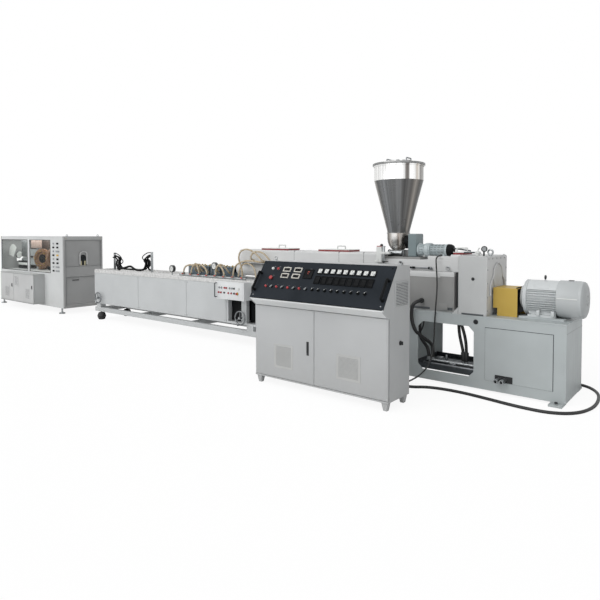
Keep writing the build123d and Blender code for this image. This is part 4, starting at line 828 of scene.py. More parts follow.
# cast ridges and a cover plate on the gearbox end, both in the lighter gearbox paint: painted light
finishPiece(ridges, "gearbox_cast_ridges", endCoverBrightenedEnamel)
finishPiece(block((-763, -306, 790), (-755, 306, 1372), edge=2), "gearbox_end_cover_brightened", endCoverBrightenedEnamel)
rimBolts = [(-756, y, 1352) for y in (-255, -145, -20, 105, 225)] + [(-756, y, z) for y in (-285, 285)
        for z in (1240, 1100, 960, 820)]
boltHeads(rimBolts, (1, 0, 0), 9, "gearbox_cover_bolts", greyPlastic)
fittings = [rod((-898, -180, 1378), (-898, -180, 1404), 20, edge=3),
            lathe([(0, 0), (26, 0), (30, 5), (30, 18), (22, 24), (0, 26)], (-898, -180, 1402), sides=32),
            bentBar([(-898, -180, 1418), (-898, -180, 1440), (-890, -180, 1452), (-880, -180, 1462)], 6)]
finishPiece(fittings, "gearbox_filler", whitePlastic)
gauge = [rod((-833, -180, 1378), (-833, -180, 1425), 9, edge=1),
         lathe([(0, 0), (28, 0), (31, 4), (31, 30), (26, 32), (25, 26), (0, 26)], (-833, -166, 1452),
               axis=gaugeAxis, sides=40)]
finishPiece(gauge, "gearbox_gauge", blackPlastic)
finishPiece(lathe([(0, 0), (22, 0), (22, 2), (0, 2)], (-826.5, -192, 1452), axis=gaugeAxis, sides=40),
            "gearbox_gauge_dial", greyPlastic)
eye = [rod((-775, -150, 1378), (-775, -150, 1398), 17, edge=2),
       ringBar((-775, -150, 1420), 26, 26, 9)]
finishPiece(eye, "gearbox_eye", zincPipe)
sight = [lathe([(0, 0), (17, 0), (17, 3), (12, 5), (0, 5)], (-897, -310, 1143), axis=toFront, sides=32)]
finishPiece(sight, "gearbox_oil_sight", blackPlastic)

lines = [block((-760, -331.5, 655), (-112, -329, 661), edge=0),
         block((-115, -331.5, 122), (-109, -329, 661), edge=0),
         block((-760, -330.8, 122), (-757.5, -329, 655), edge=0),
         block((-757, -330.8, 119.5), (-115, -329, 122), edge=0)]
finishPiece(lines, "base_cover_shadow_gap", darkGrey)
heads = [lathe([(0, 0), (7, 0), (6.5, 2), (4, 3.5), (0, 4)], (x, -336, z), axis=toFront, sides=16)
         for x in (-740, -132) for z in (140, 640)]
finishPiece(heads, "base_cover_screws", baseEnamel)
finishPiece(block((-0.5, -330, 671), (1.2, 330, 675), edge=0), "base_end_seam", greyPlastic)
finishPiece(block((-655, -331, 124), (-482, -329, 190), edge=0), "base_notch_dark", blackPlastic)
boltHeads([(x, y, 30) for x in (-72, -1800, -3528) for y in (-377, 377)], (0, 0, 1), 17,
          "base_floor_bolts", blackPlastic)
drops = [bentBar([(-1056, -150, 232), (-1056, -150, 330), (-1078, -150, 420), (-1102, -150, 520),
                  (-1111, -150, 630), (-1111, -150, 716)], 17),
         bentBar([(-1022, -150, 232), (-1022, -150, 350), (-1030, -150, 455), (-1052, -150, 550),
                  (-1084, -150, 640), (-1084, -150, 716)], 17),
         *[lathe([(0, 0), (24, 0), (26, 5), (26, 84), (22, 92), (0, 92)], (x, -150, 240), sides=24)
           for x in (-1056, -1022)],
         bentBar([(-1504, -228, 868), (-1510, -330, 868), (-1556, -362, 830), (-1568, -362, 740),
                  (-1562, -362, 640), (-1530, -340, 530), (-1465, -260, 450), (-1412, -180, 390),
                  (-1405, -150, 320), (-1405, -150, 232)], 20),
         bentBar([(-1570, -150, 716), (-1572, -150, 560), (-1568, -150, 450), (-1520, -150, 380),
                  (-1462, -150, 320), (-1455, -150, 232)], 19),
         bentBar([(-1490, -200, 716), (-1492, -200, 620), (-1513, -200, 545), (-1573, -200, 464),
                  (-1640, -200, 430)], 9), rod((-1504, -228, 868), (-1505, -262, 868), 27, edge=3)]
drops = finishPiece(drops, "window_hose_runs", cableSheath)
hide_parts("window_hoses")
finishPiece(block((-2000, 318, 90), (-1700, 329, 690), edge=0), "base_inner_shade", baseEnamel)
clutter = [rod((-1500, -60, 186), (-900, -60, 186), 24, edge=2),
           rod((-1480, -230, 176), (-860, -230, 176), 16, edge=2),
           rod((-1270, -100, 190), (-1270, -100, 262), 13, edge=2),
           block((-1400, -120, 170), (-1330, -40, 225), edge=4),
           block((-1180, -240, 165), (-1120, -180, 205), edge=4)]
finishPiece(clutter, "base_tray_pipes", dieSteel)
plug = [lathe([(0, 0), (25, 0), (25, 3), (21, 4), (20, 1), (0, 1)], (-856, -330, 705), axis=toFront,
              sides=40)]
finishPiece(plug, "base_plug_hole", blackPlastic)
slotLine = [block((-1017, -314, 767), (-786, -309, 783), edge=1)]
finishPiece(slotLine, "gearbox_foot_slot", darkGrey)
print("gearbox and base done")


# barrel covers, lids and clamps
gaskets, lids = [], []
for x0, x1 in ((-4060, -3560), (-3040, -2560), (-1190, -1078)):
    gaskets.append(block((x0, -126, 1384), (x1, 126, 1406), edge=2))
    lids.append(block((x0 - 3, -129, 1405), (x1 + 3, 129, 1412), edge=2))
    x = x0 + 0.68 * (x1 - x0)
    lids.append(bentBar([(x - 60, -65, 1410), (x - 60, -65, 1452), (x - 52, -65, 1456),
                         (x + 52, -65, 1456), (x + 60, -65, 1452), (x + 60, -65, 1410)], 8))
finishPiece(gaskets, "lid_red_sides", lidRed)
lids = finishPiece(lids, "bonnet_lid_plates", whitePlastic)
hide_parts("bonnet_vent_lids")
seams = [block((x - 2, -191, 1196), (x + 2, 191, 1386), edge=0.5) for x in (-3400, -2667, -2301)]
seams.append(block((-4380, -191, 1193), (-1062, -187, 1198), edge=0.5))
finishPiece(seams, "bonnet_seams", darkGrey)
# a pale strip along the cover's rounded top edge: painted highlight
finishPiece(block((-1656, -233, 1132), (-1134, -226, 1198), edge=3), "cover_top_highlight", paleStrip)
finishPiece(block((-1306, -242, 778), (-1206, -229, 850), edge=3), "cover_foot_box", coverShadedEnamel)
groove = [block((-1650, -232, 776), (-1411, -228, 800), edge=1),
          block((-1204, -232, 782), (-1150, -228, 838), edge=1)]
finishPiece(groove, "cover_groove", darkGrey)
ringBolt = [rod((-1216, -190, 1250), (-1216, -206, 1250), 10, edge=1),
            ringBar((-1216, -208, 1232), 22, 22, 4)]
finishPiece(ringBolt, "cover_ring_bolt", zincPipe)
lever = [rod((-1640, -214, 1230), (-1420, -214, 1230), 7, edge=1),
         lathe([(0, -17), (10, -14), (16, -6), (17, 0), (16, 6), (10, 14), (0, 17)], (-1410, -214, 1230),
               axis=alongLine, sides=32), rod((-1640, -190, 1230), (-1640, -224, 1230), 13, edge=2)]
finishPiece(lever, "cover_ball_lever", dieSteel)
finishPiece([rod((-1664, -214, 1230), (-1600, -214, 1230), 12, edge=3),
             rod((-1440, -214, 1230), (-1424, -214, 1230), 14, edge=3)], "cover_lever_ends", mattBlack)
print("barrel covers done")


# hopper: spun stainless sheet
bowl = lathe([(52, 1417), (72, 1426), (91, 1443), (108, 1468), (119, 1494), (127, 1523), (131, 1555),
              (132, 1600), (132, 1612), (138, 1613), (138, 1620), (130, 1622), (124, 1632), (126, 1600),
              (125, 1555), (113, 1496), (86, 1447), (52, 1424), (52, 1417)], hopperFoot, sides=96)
bowl = finishPiece(bowl, "hopper_bowl", hopperBowl, angle=30)
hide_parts("hopper_shell")
cone = lathe([(130, 1622), (134, 1650), (286, 2230), (290, 2240), (284, 2240), (124, 1632), (130, 1622)],
             hopperFoot, sides=128)
finishPiece(cone, "hopper_cone", hopperCone, angle=30)
band = lathe([(284, 2240), (290, 2240), (291, 2243), (290, 2246), (290, 2404), (298, 2406), (298, 2420),
              (284, 2420), (284, 2240)], hopperFoot, sides=128)
finishPiece(band, "hopper_band", hopperBand, angle=30)
lid = lathe([(0, 2420), (304, 2420), (306, 2424), (306, 2440), (303, 2446), (290, 2448), (180, 2466),
             (76, 2478), (0, 2480)], hopperFoot, sides=96)
lid = finishPiece(lid, "hopper_lid_cover", hopperStainless, angle=30)
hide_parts("hopper_lid")
rimLines = [lathe([(302, z), (309, z + 1), (309, z + 6), (302, z + 7), (302, z)], hopperFoot, sides=96)
            for z in (2421, 2434)]
rimLines += [block((-1952, -36, 2474), (-1916, -4, 2496), edge=5),
             block((-1900, 14, 2474), (-1866, 46, 2496), edge=5)]
finishPiece(rimLines, "hopper_lid_lines", lineGrey)
caps = [lathe([(0, 30), (30, 28), (50, 18), (62, 4), (62, 0), (0, 0)], spot, sides=40)
        for spot in ((-1990, -40, 2462), (-1841, 60, 2464))]
finishPiece(caps, "hopper_lid_caps", hopperStainless)
cradle = [block((-1979, -112, 1357), (-1798, -60, 1396), edge=4),
          block((-1979, -112, 1390), (-1942, -60, 1424), edge=6),
          block((-1835, -112, 1390), (-1798, -60, 1424), edge=6)]
finishPiece(cradle, "bowl_cradle", lineGrey)
grips = []
for x in (hopperFoot[0] - 130, hopperFoot[0] + 130):
    grips.append(bentBar([(x, -55, 2464), (x, -55, 2490), (x, -55, 2505), (x, -38, 2506), (x, 0, 2506),
                          (x, 38, 2506), (x, 55, 2505), (x, 55, 2490), (x, 55, 2464)], 8))
finishPiece(grips, "hopper_lid_grips", chromePlate)
weld = [bentBar([(hopperFoot[0] + (134 + k * 19) * math.cos(-1.05), (134 + k * 19) * math.sin(-1.05),
                  1652 + k * 72.5) for k in range(9)], 2.2)]
finishPiece(weld, "hopper_seam", dieSteel)
boltHeads([(hopperFoot[0] + 134 * math.cos(k * math.pi / 6), 134 * math.sin(k * math.pi / 6), 1628)
           for k in range(12)], (0, 0, 1), 6, "hopper_flange_bolts", zincPipe)
print("hopper done")


# feeder drive
feeder = {"y": -60, "z": 1427, "fins": 30, "neckRibs": 14, "slotRows": 15}
finishPiece(block((-1480, -150, 1318), (-1172, 150, 1364), edge=3), "bonnet_top_rail", bonnetEnamel)
body = [lathe([(0, 0), (74, 0), (78, 4), (78, 16), (72, 20), (60, 24), (54, 40), (52, 83), (0, 83)],
              (-1626, feeder["y"], feeder["z"]), axis=alongLine, sides=48),
        lathe([(0, 0), (72, 0), (80, 6), (80, 50), (74, 54), (74, 58), (79, 60), (79, 69), (0, 69)],
              (-1543, feeder["y"], feeder["z"]), axis=alongLine, sides=48),
        lathe([(0, 0), (60, 0), (60, 178), (0, 178)], (-1474, feeder["y"], feeder["z"]), axis=alongLine,
              sides=48), lathe([(0, 0), (66, 0), (69, 4), (69, 22), (0, 22)],
                               (-1297, feeder["y"], feeder["z"]), axis=alongLine, sides=48)]
feederAxis = at(0, feeder["y"], feeder["z"])
fin = block((-1474, -62, 1485), (-1297, -58, 1493), edge=1)
neckRib = block((-1608, -63, 1475), (-1545, -57, 1495), edge=1)
for piece, count in ((fin, feeder["fins"]), (neckRib, feeder["neckRibs"])):
    for number in range(count):
        body.append(copyPiece(piece, (0, 0, 0), turnAbout(feederAxis, 360 * number / count, "X")))
    bpy.data.objects.remove(piece)
body.append(block((-1370, -109, 1352), (-1300, -60, 1392), edge=4))
drive = finishPiece(body, "feeder_motor_body", feederMotorPaint)
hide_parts("feeder_motor")
cap = lathe([(0, 0), (69, 0), (70, 4), (68, 34), (56, 58), (40, 63), (0, 63)],
            (-1275, feeder["y"], feeder["z"]), axis=alongLine, sides=48)
finishPiece(cap, "feeder_motor_cap", mattBlack)
slotSpots = []
for start in (-1462, -1420, -1378, -1336):
    for number in range(feeder["slotRows"]):
        piece = block((start, -62, 1491), (start + 26, -58, 1493.5), edge=0)
        piece.data.transform(turnAbout(feederAxis, 360 * (number + 0.5) / feeder["slotRows"], "X"))
        slotSpots.append(piece)
finishPiece(slotSpots, "feeder_motor_slots", darkGrey)
boss = [lathe([(0, 0), (70, 0), (74, 4), (74, 60), (0, 60)], (-1784, -60, 1520), axis=alongLine, sides=40),
        block((-1782, -110, 1440), (-1724, -10, 1530), edge=6)]
finishPiece(boss, "feeder_gear_boss", mattBlack)
teeth = [block((-1629, 18, z), (-1623, 32, z + 8), edge=1) for z in range(1400, 1600, 16)]
finishPiece(teeth, "feeder_gear_ribs", feederPaint)
spool = lathe([(0, 0), (38, 0), (38, 12), (30, 16), (28, 90), (30, 150), (38, 156), (38, 170), (0, 170)],
              (-1985, -104, 1386), axis=alongLine, sides=40)
finishPiece(spool, "feeder_spool", zincPipe)
# a black end disc on the spool, and a black strip beneath it: painted shadow
shade = [lathe([(0, 0), (41, 0), (41, 10), (0, 10)], (-1996, -104, 1386), axis=alongLine, sides=40),
         block((-1990, -142, 1340), (-1700, -60, 1350), edge=2)]
finishPiece(shade, "feeder_spool_end_and_shadow", mattBlack)
sightRing = [lathe([(12, 0), (22, 0), (24, 3), (22, 8), (12, 8), (12, 0)], (-1787, -196, 1270),
                   axis=toFront, sides=32)]
finishPiece(sightRing, "feeder_sight_ring", blackPlastic)
bars = [rod((-1214, -60, 1450), (-1020, -60, 1426), 8, edge=1),
        rod((-1080, -100, 1408), (-950, -100, 1410), 9, edge=1)]
finishPiece(bars, "feeder_tie_bars", darkGrey)
print("feeder done")


# vacuum pot and its pipe
pot = finishPiece([block((-2096, -240, 1276), (-2022, -190, 1462), edge=6),
                   rod((-2107, -236, 1289), (-2107, -190, 1289), 12, edge=2)], "vacuum_pot",
                  whitePlastic)
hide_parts("vacuum_pipe")
cap = [lathe([(0, 0), (16, 0), (18, 4), (17, 16), (10, 24), (0, 26)], (-2034, -218, 1468), sides=32),
       rod((-2088, -218, 1462), (-2030, -218, 1470), 5, edge=1),
       lathe([(0, -18), (10, -15), (17, -6), (18, 0), (17, 6), (10, 15), (0, 18)], (-1998, -234, 1286),
             sides=32), rod((-1990, -240, 1286), (-1934, -240, 1288), 6, edge=1)]
finishPiece(cap, "vacuum_valve_knobs", blackPlastic)
finishPiece(block((-2092, -238, 1461), (-2024, -198, 1469), edge=2), "vacuum_pot_seal", redPlastic)
pipe = [rod((-1996, -234, 1290), (-1996, -234, 1466), 16, edge=1),
        lathe([(0, 0), (20, 0), (20, 12), (0, 14)], (-1996, -234, 1456), sides=32),
        rod((-1932, -234, 1384), (-1932, -92, 1384), 13, edge=1)]
finishPiece(pipe, "vacuum_pipe_run", zincPipe)
finishPiece([block((-2018, -252, 1374), (-1914, -216, 1402), edge=4)], "vacuum_pipe_tee", whitePlastic)
print("vacuum pot done")


# sizing table
rubber = {"radius": 77, "places": ((-8085, 0), (-3985, 70))}
feetLow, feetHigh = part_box("table_feet")
footY = (feetHigh.y - feetLow.y) * 500 - rubber["radius"]
stands = [lathe([(0, 0), (52, 0), (60, 12), (77, 56), (79, 66), (77, 76), (60, 120), (52, 132),
                 (22, 132), (20, 150), (20, 196), (0, 196)], (x, side * (footY - inset), 0), sides=24)
          for x, inset in rubber["places"] for side in (-1, 1)]
stands = finishPiece(stands, "table_rubber_feet", blackRubber, angle=20)
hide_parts("table_feet")
hoseTops = ((-4680, -290, 1130), (-4870, 150, 1150), (-5060, -330, 1120), (-5250, -240, 1145),
            (-5440, 230, 1135), (-5630, 300, 1120))
hoses = [bentBar([(x, -278, 999), (x + 0.06 * lean, -284, 1070), (x + 0.3 * lean, -272, top),
                  (x + 0.65 * lean, -236, top + 4), (x + 0.95 * lean, -180, 1075),
                  (x + lean, -140, 1022), (x + lean, -118, 1014)], 13) for x, lean, top in hoseTops]
longTops = ((-4300, ((0, 1110), (-80, 1230), (-60, 1350), (60, 1400), (200, 1375), (330, 1290), (400, 1225))),
            (-4490, ((0, 1080), (60, 1160), (180, 1215), (330, 1232), (465, 1226), (560, 1214))))
for x, corners in longTops:
    hoses.append(bentBar([(x, -278, 999)] + [(x + dx, -278, z) for dx, z in corners]
                         + [(x + corners[-1][0], -190, corners[-1][1])], 12))
hoses.append(bentBar([(-4143, -190, 1235), (-4143, -278, 1250), (-4110, -278, 1330), (-4020, -278, 1370),
                      (-3890, -278, 1350), (-3810, -278, 1290), (-3755, -278, 1235),
                      (-3755, -190, 1225)], 12))
hoses.append(bentBar([(-4400, -260, 990), (-4385, -262, 1090), (-4310, -262, 1175), (-4200, -262, 1195),
                      (-4090, -262, 1150), (-4050, -262, 1060), (-4048, -262, 990)], 11))
hoses = finishPiece(hoses, "water_hose_loops", tanHose)
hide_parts("water_hoses")
controlFace = {"left": -4640, "width": 535, "y": -462, "low": 690, "high": 912, "rows": (838, 768)}
left, faceY = controlFace["left"], controlFace["y"]
facePlate = block((left, faceY, controlFace["low"]), (left + controlFace["width"], faceY + 4,
                                                      controlFace["high"]), edge=1.5)
finishPiece(facePlate, "table_control_face", boxEnamel)
gripRoute = ((0, 700), (-30, 700), (-38, 702), (-38, 730), (-38, 800), (-38, 870), (-38, 898),
             (-30, 900), (0, 900))
barGrip = bentBar([(left - 5, faceY + out, z) for out, z in gripRoute], 8)
finishPiece(barGrip, "table_control_grip", darkGrey)
rowTop = ((0.10, "g"), (0.19, "g"), (0.31, "r"), (0.38, "r"), (0.51, "g"), (0.60, "g"), (0.68, "b"),
          (0.85, "w"))
rowLow = ((0.08, "r"), (0.17, "r"), (0.30, "b"), (0.46, "r"), (0.57, "r"), (0.68, "b"), (0.80, "y"))
made = {"g": [], "r": [], "b": [], "w": [], "y": []}
for row, z in zip((rowTop, rowLow), controlFace["rows"]):
    for share, kind in row:
        x = left + share * controlFace["width"]
        size = 20 if kind == "y" else 13
        made["g"].append(lathe([(size * 0.7, 0), (size + 3, 0), (size + 3, 3), (size * 0.7, 4),
                                (size * 0.7, 0)], (x, faceY, z), axis=toFront, sides=20))
        made[kind].append(lathe([(0, 2), (size, 2), (size, 10), (size * 0.8, 15), (0, 16)],
                                (x, faceY, z), axis=toFront, sides=20))
        if kind == "y":
            made["r"].append(lathe([(0, 10), (11, 12), (17, 20), (17, 26), (12, 30), (0, 30)],
                                   (x, faceY, z), axis=toFront, sides=24))
for key, name, material in (("g", "grey_buttons", greyPlastic), ("r", "red_buttons", redPlastic),
                            ("b", "black_knobs", blackPlastic), ("w", "white_lamp", whitePlastic),
                            ("y", "yellow_stop_plate", yellowPlastic)):
    finishPiece(made[key], "table_" + name, material)
valves = {"first": -4300, "pitch": 190, "count": 8}
levers, valveBodies = [], []
for number in range(valves["count"]):
    x = valves["first"] - valves["pitch"] * number
    valveBodies.append(rod((x, -296, 981), (x, -312, 981), 10, edge=1))
    tilt = block((x - 8, -320, 975), (x + 34, -311, 989), edge=3)
    levers.append(turnPiece(tilt, -12 if number % 2 else 14, "Y", (x, -315, 981)))
finishPiece(levers, "valve_levers", redPlastic)
finishPiece(valveBodies, "valve_stems", brassFitting)
gauges = {"places": ((-6000, 1040), (-4960, 1120)), "y": -203, "ticks": 11}
dials, rims, marks = [], [], []
for x, z in gauges["places"]:
    rims.append(lathe([(46, -14), (57, -14), (59, -10), (59, 32), (48, 35), (46, 31), (50, 30),
                       (50, -10), (46, -10), (46, -14)], (x, gauges["y"], z), axis=toFront, sides=48))
    dials.append(lathe([(0, 30.5), (47, 30.5), (47, 32), (0, 32)], (x, gauges["y"], z), axis=toFront,
                       sides=48))
    for number in range(gauges["ticks"]):
        tick = block((x - 1.2, -236, z + 34), (x + 1.2, -235, z + 42), edge=0)
        marks.append(turnPiece(tick, 27 * number - 135, "Y", (x, -235, z)))
    marks.append(turnPiece(block((x - 1.2, -236.5, z - 8), (x + 1.2, -235, z + 34), edge=0), -50, "Y",
                           (x, -235, z)))
finishPiece(rims, "gauge_rims", blackPlastic)
finishPiece(dials, "gauge_dials", whitePlastic)
finishPiece(marks, "gauge_marks", blackPlastic)
calibrator = {"first": -5700, "pitch": 262, "count": 4, "top": 1105}
calibratorLefts = [calibrator["first"] + number * calibrator["pitch"]
                   for number in range(calibrator["count"])]
fittings = []
for left in calibratorLefts:
    for x in (left + 50, left + 120, left + 190):
        fittings += [rod((x, y, calibrator["top"]), (x, y, calibrator["top"] + 17), 13, edge=1.5,
                         sides=6) for y in (-70, 70)]
finishPiece(fittings, "calibrator_fittings", brassFitting)
straps = []
for left in calibratorLefts:
    straps += [block((left + x, -123, 940), (left + x + 24, -119, 1080), edge=1) for x in (20, 196)]
    straps.append(block((left - 2, -122, 1001), (left + 242, 122, 1005), edge=0.6))
finishPiece(straps, "calibrator_clamps", dieSteel)
posts, loops = [], []
guides = {"places": (-7912, -6738), "tops": (1262, 1298), "floor": 938}
for x, top, sign in zip(guides["places"], guides["tops"], (1, -1)):
    posts.append(block((x - 8, -112, guides["floor"]), (x + 8, -68, top), edge=2))
    posts += [rod((x, -113, z), (x, -67, z), 9, edge=1) for z in (1020, 1110, 1200)]
    loops.append(ringBar((x + sign * 120, -90, top - 205), sign * 62, 66, 17))
    loops.append(ringBar((x + sign * 95, -60, top - 275), sign * 55, 50, 15))
    for y, out in ((-130, 0), (-100, 30), (-70, 16)):
        loops.append(bentBar([(x + sign * 8, y, top - 90 + out), (x + sign * 70, y, top - 80 + out),
                              (x + sign * (165 + out), y, top - 130), (x + sign * 120, y, top - 190),
                              (x + sign * (160 + out), y, 1010), (x + sign * 230, y, 975),
                              (x + sign * (310 + out), y, 972)], 13))
    for y, rise in ((-110, 0), (-80, -52)):
        loops.append(bentBar([(x + sign * 8, y, top - 14 + rise), (x + sign * 70, y, top - 8 + rise),
                              (x + sign * 170, y, top - 40 + rise), (x + sign * 265, y, top - 95 + rise),
                              (x + sign * 240, y, top - 140 + rise),
                              (x + sign * 170, y, top - 165 + rise)], 8))
posts = finishPiece(posts, "guide_posts", zincPipe)
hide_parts("guide_plates")
lead = [bentBar([(-7660, -150, 975), (-7560, -150, 980), (-7440, -160, 1000), (-7305, -150, 1035),
                 (-7200, -150, 985), (-7080, -160, 962), (-6980, -150, 968)], 19),
        bentBar([(-7560, -120, 968), (-7400, -110, 966), (-7250, -120, 968), (-7100, -120, 966),
                 (-6960, -120, 970)], 14)]
finishPiece(loops + lead, "guide_air_hoses", mattBlack)
panelScrews = []
for left, right in ((-8262, -6840), (-6840, -5530), (-5530, -4610)):
    for x in (left + 30, right - 30):
        for z in (330, 850):
            panelScrews.append(lathe([(0, 0), (7, 0), (6.5, 2.5), (0, 4)], (x, -309, z), axis=toFront,
                                     sides=14))
finishPiece(panelScrews, "table_panel_screws", zincPipe)
bayInside = [block((-4560, -240, 340), (-4305, 200, 840), edge=6),
             block((-4185, -220, 340), (-4030, 200, 840), edge=6)]
finishPiece(bayInside, "table_bay_pump_cover", mattBlack)
print("sizing table done")


# haul-off and cutter
endX = -9230  # the inlet panel's face
cutter = {"axis": (0.35, -0.93, 0), "z": 1066, "studRing": 160}
gasketBars = []
for x0, x1 in ((-12165, -10835), (-10740, -9785)):
    gasketBars += [block((x0, -420, 805), (x1, -410, 817), edge=2),
                   block((x0, -420, 1483), (x1, -410, 1495), edge=2),
                   block((x0, -420, 805), (x0 + 14, -410, 1495), edge=2),
                   block((x1 - 14, -420, 805), (x1, -410, 1495), edge=2)]
finishPiece(gasketBars, "window_gaskets", blackRubber)
stripButtons = {"g": [], "b": [], "y": []}
pattern = (("g", "b", 0), ("b", "b", 0), ("g", "g", 1), ("b", "y", 0), ("g", "b", 0), ("b", "b", 0),
           ("g", "g", 1), ("b", "g", 1))
for row, (first, second, wide) in enumerate(pattern):
    z = 1420 - row * 80
    for kind, x, half in ((first, -9650, 34 if first == "b" else 22), (second, -9480, 70 if wide else 36)):
        stripButtons[kind].append(block((x - half, -430, z - 17), (x + half, -417, z + 17), edge=4))
for key, name, material in (("g", "grey", greyPlastic), ("b", "black", mattBlack),
                            ("y", "yellow", yellowPlastic)):
    finishPiece(stripButtons[key], "haul_off_buttons_" + name, material)
switchVents = (("left_switch_door", -11420, -11200, 230, 480, "switch_vent_left"),
               ("right_switch_door", -10950, -10740, 480, 730, "switch_vent_middle"),
               ("right_switch_door", -10420, -10200, 230, 480, "switch_vent_right"))
for doorBody, x0, x1, z0, z1, name in switchVents:
    ventPlate(x0, x1, z0, z1, -659, name, doorBody, "haul_paint", switchDoorEnamel, 18, 10, 4)
for doorBody, x, name in (("left_switch_door", -11060, "left"), ("right_switch_door", -10110, "right")):
    catch = [block((x - 13, -664, 460), (x + 13, -658, 540), edge=3),
             block((x - 8, -672, 475), (x + 8, -662, 535), edge=3)]
    finishPiece(catch, "switch_latch_" + name, blackPlastic, doorBody)
pullRoute = ((endX - 16, -230), (endX + 2, -230), (endX + 12, -228), (endX + 12, -210),
             (endX + 12, -130), (endX + 12, -112), (endX + 2, -110), (endX - 16, -110))
pull = bentBar([(x, y, 674) for x, y in pullRoute], 7)
finishPiece(pull, "haul_off_panel_pull", blackPlastic)
boltHeads([(endX, y, 1530) for y in (-370, 380)], (1, 0, 0), 9, "haul_off_corner_bolts", brassFitting)
lugs = []
for y in (-330, 340):
    lugs.append(ringBar((-9262, y, 1584), 18, 18, 6, along="y"))
    lugs.append(rod((-9262, y, 1560), (-9262, y, 1572), 14, edge=1))
finishPiece(lugs, "haul_off_roof_eyes", zincPipe)
nuts = []
for x in (-12110, -9340):
    for y in (-408, 420):
        nuts += [rod((x, y, 22), (x, y, 40), 27, edge=2, sides=6),
                 rod((x, y, 88), (x, y, 106), 25, edge=2, sides=6)]
finishPiece(nuts, "haul_off_foot_nuts", zincPipe)
# end panel: folded lip lines and a pale arch frame
lips = [block((endX - 2, -372, 1488), (endX + 4, 380, 1493), edge=0),
        block((endX - 2, -372, 945), (endX + 4, 380, 950), edge=0),
        block((endX - 2, -375, 158), (endX + 4, -370, 1490), edge=0),
        block((endX - 2, -372, 728), (endX + 4, 380, 733), edge=0),
        block((endX - 2, 376, 158), (endX + 4, 381, 1490), edge=0)]
finishPiece(lips, "haul_off_end_lines", lineGrey)
finishPiece(block((endX - 2, -418, 1494), (endX + 3, 430, 1560), edge=1), "haul_off_end_band",
            switchSideEnamel)
archFrame = [block((endX - 1, y - 15, 985), (endX + 6, y + 15, 1180), edge=2) for y in (-77, 77)]
archFrame.append(bentBar([(endX + 2, -77, 1150), (endX + 2, -77, 1200), (endX + 2, -62, 1238),
                          (endX + 2, 0, 1252), (endX + 2, 62, 1238), (endX + 2, 77, 1200),
                          (endX + 2, 77, 1150)], 14))
finishPiece(archFrame, "haul_off_arch_frame", switchDoorEnamel)
finishPiece(block((-9420, -180, 820), (-9405, 180, 1400), edge=2), "haul_off_inner_shield", darkGrey)
inside = [lathe([(0, 0), (74, 0), (78, 6), (70, 20), (0, 24)], (-11935, -120, 1130),
                axis=(0.4, -0.9, 0.1), sides=48), block((-12150, 60, 1020), (-11560, 90, 1060), edge=3),
          block((-12030, -112, 895), (-11540, -88, 948), edge=3),
          block((-12150, 200, 1090), (-11950, 230, 1440), edge=10)]
finishPiece(inside, "haul_off_inner_guards", whitePlastic)
slats = [block((x, -110, 1090), (x + 46, -80, 1475), edge=4) for x in (-11850, -11770, -11690, -11610)]
finishPiece(slats, "haul_off_inner_slats", lineGrey)
dark = [block((-12030, -110, 955), (-11540, -90, 992), edge=4),
        block((-12030, -110, 812), (-11540, -90, 882), edge=4),
        lathe([(0, 0), (80, 0), (84, 6), (80, 24), (0, 24)], (-12010, -96, 1125), axis=(0.3, -0.95, 0),
              sides=40), lathe([(0, 0), (96, 0), (96, 40), (0, 40)], (-10850, -60, cutter["z"]),
                               axis=cutter["axis"], sides=40),
        block((-10760, -20, 815), (-10560, 60, 1010), edge=10)]
finishPiece(dark, "haul_off_inner_drive", mattBlack)
ring = [lathe([(92, 0), (214, 0), (222, 8), (222, 60), (210, 68), (150, 70), (140, 52), (92, 50),
               (92, 0)], (-10860, -50, cutter["z"]), axis=cutter["axis"], sides=64),
        block((-11120, -60, 812), (-10960, 60, 930), edge=10)]
finishPiece(ring, "haul_off_cutter_ring", sawBronze)
studs = []
for number in range(8):
    angle = number * math.pi / 4
    across, z = math.cos(angle), cutter["z"] + cutter["studRing"] * math.sin(angle)
    studs.append(rod((-10865 + 150 * across, -118 + 52 * across, z),
                     (-10855 + 150 * across, -138 + 52 * across, z), 15, edge=2, sides=12))
finishPiece(studs, "haul_off_cutter_studs", brassFitting)
finishPiece(block((-11880, 70, 812), (-10770, 90, 1480), edge=4), "haul_off_inner_back", umberPlate)
fan = [turnPiece(block((-11930, -262 - 3 * k, 1120), (-11872, -256 - 3 * k, 1380), edge=6), -80 + 15 * k,
                 "Y", (-11901, -258, 1110)) for k in range(9)]
finishPiece(fan, "haul_off_inner_fan", whitePlastic)
finishPiece([block((-11430, -80, 1300), (-11000, -20, 1482), edge=10),
             block((-11360, -60, 900), (-11180, -20, 1120), edge=10)], "haul_off_inner_panel", rosePlate)
print("haul-off done")


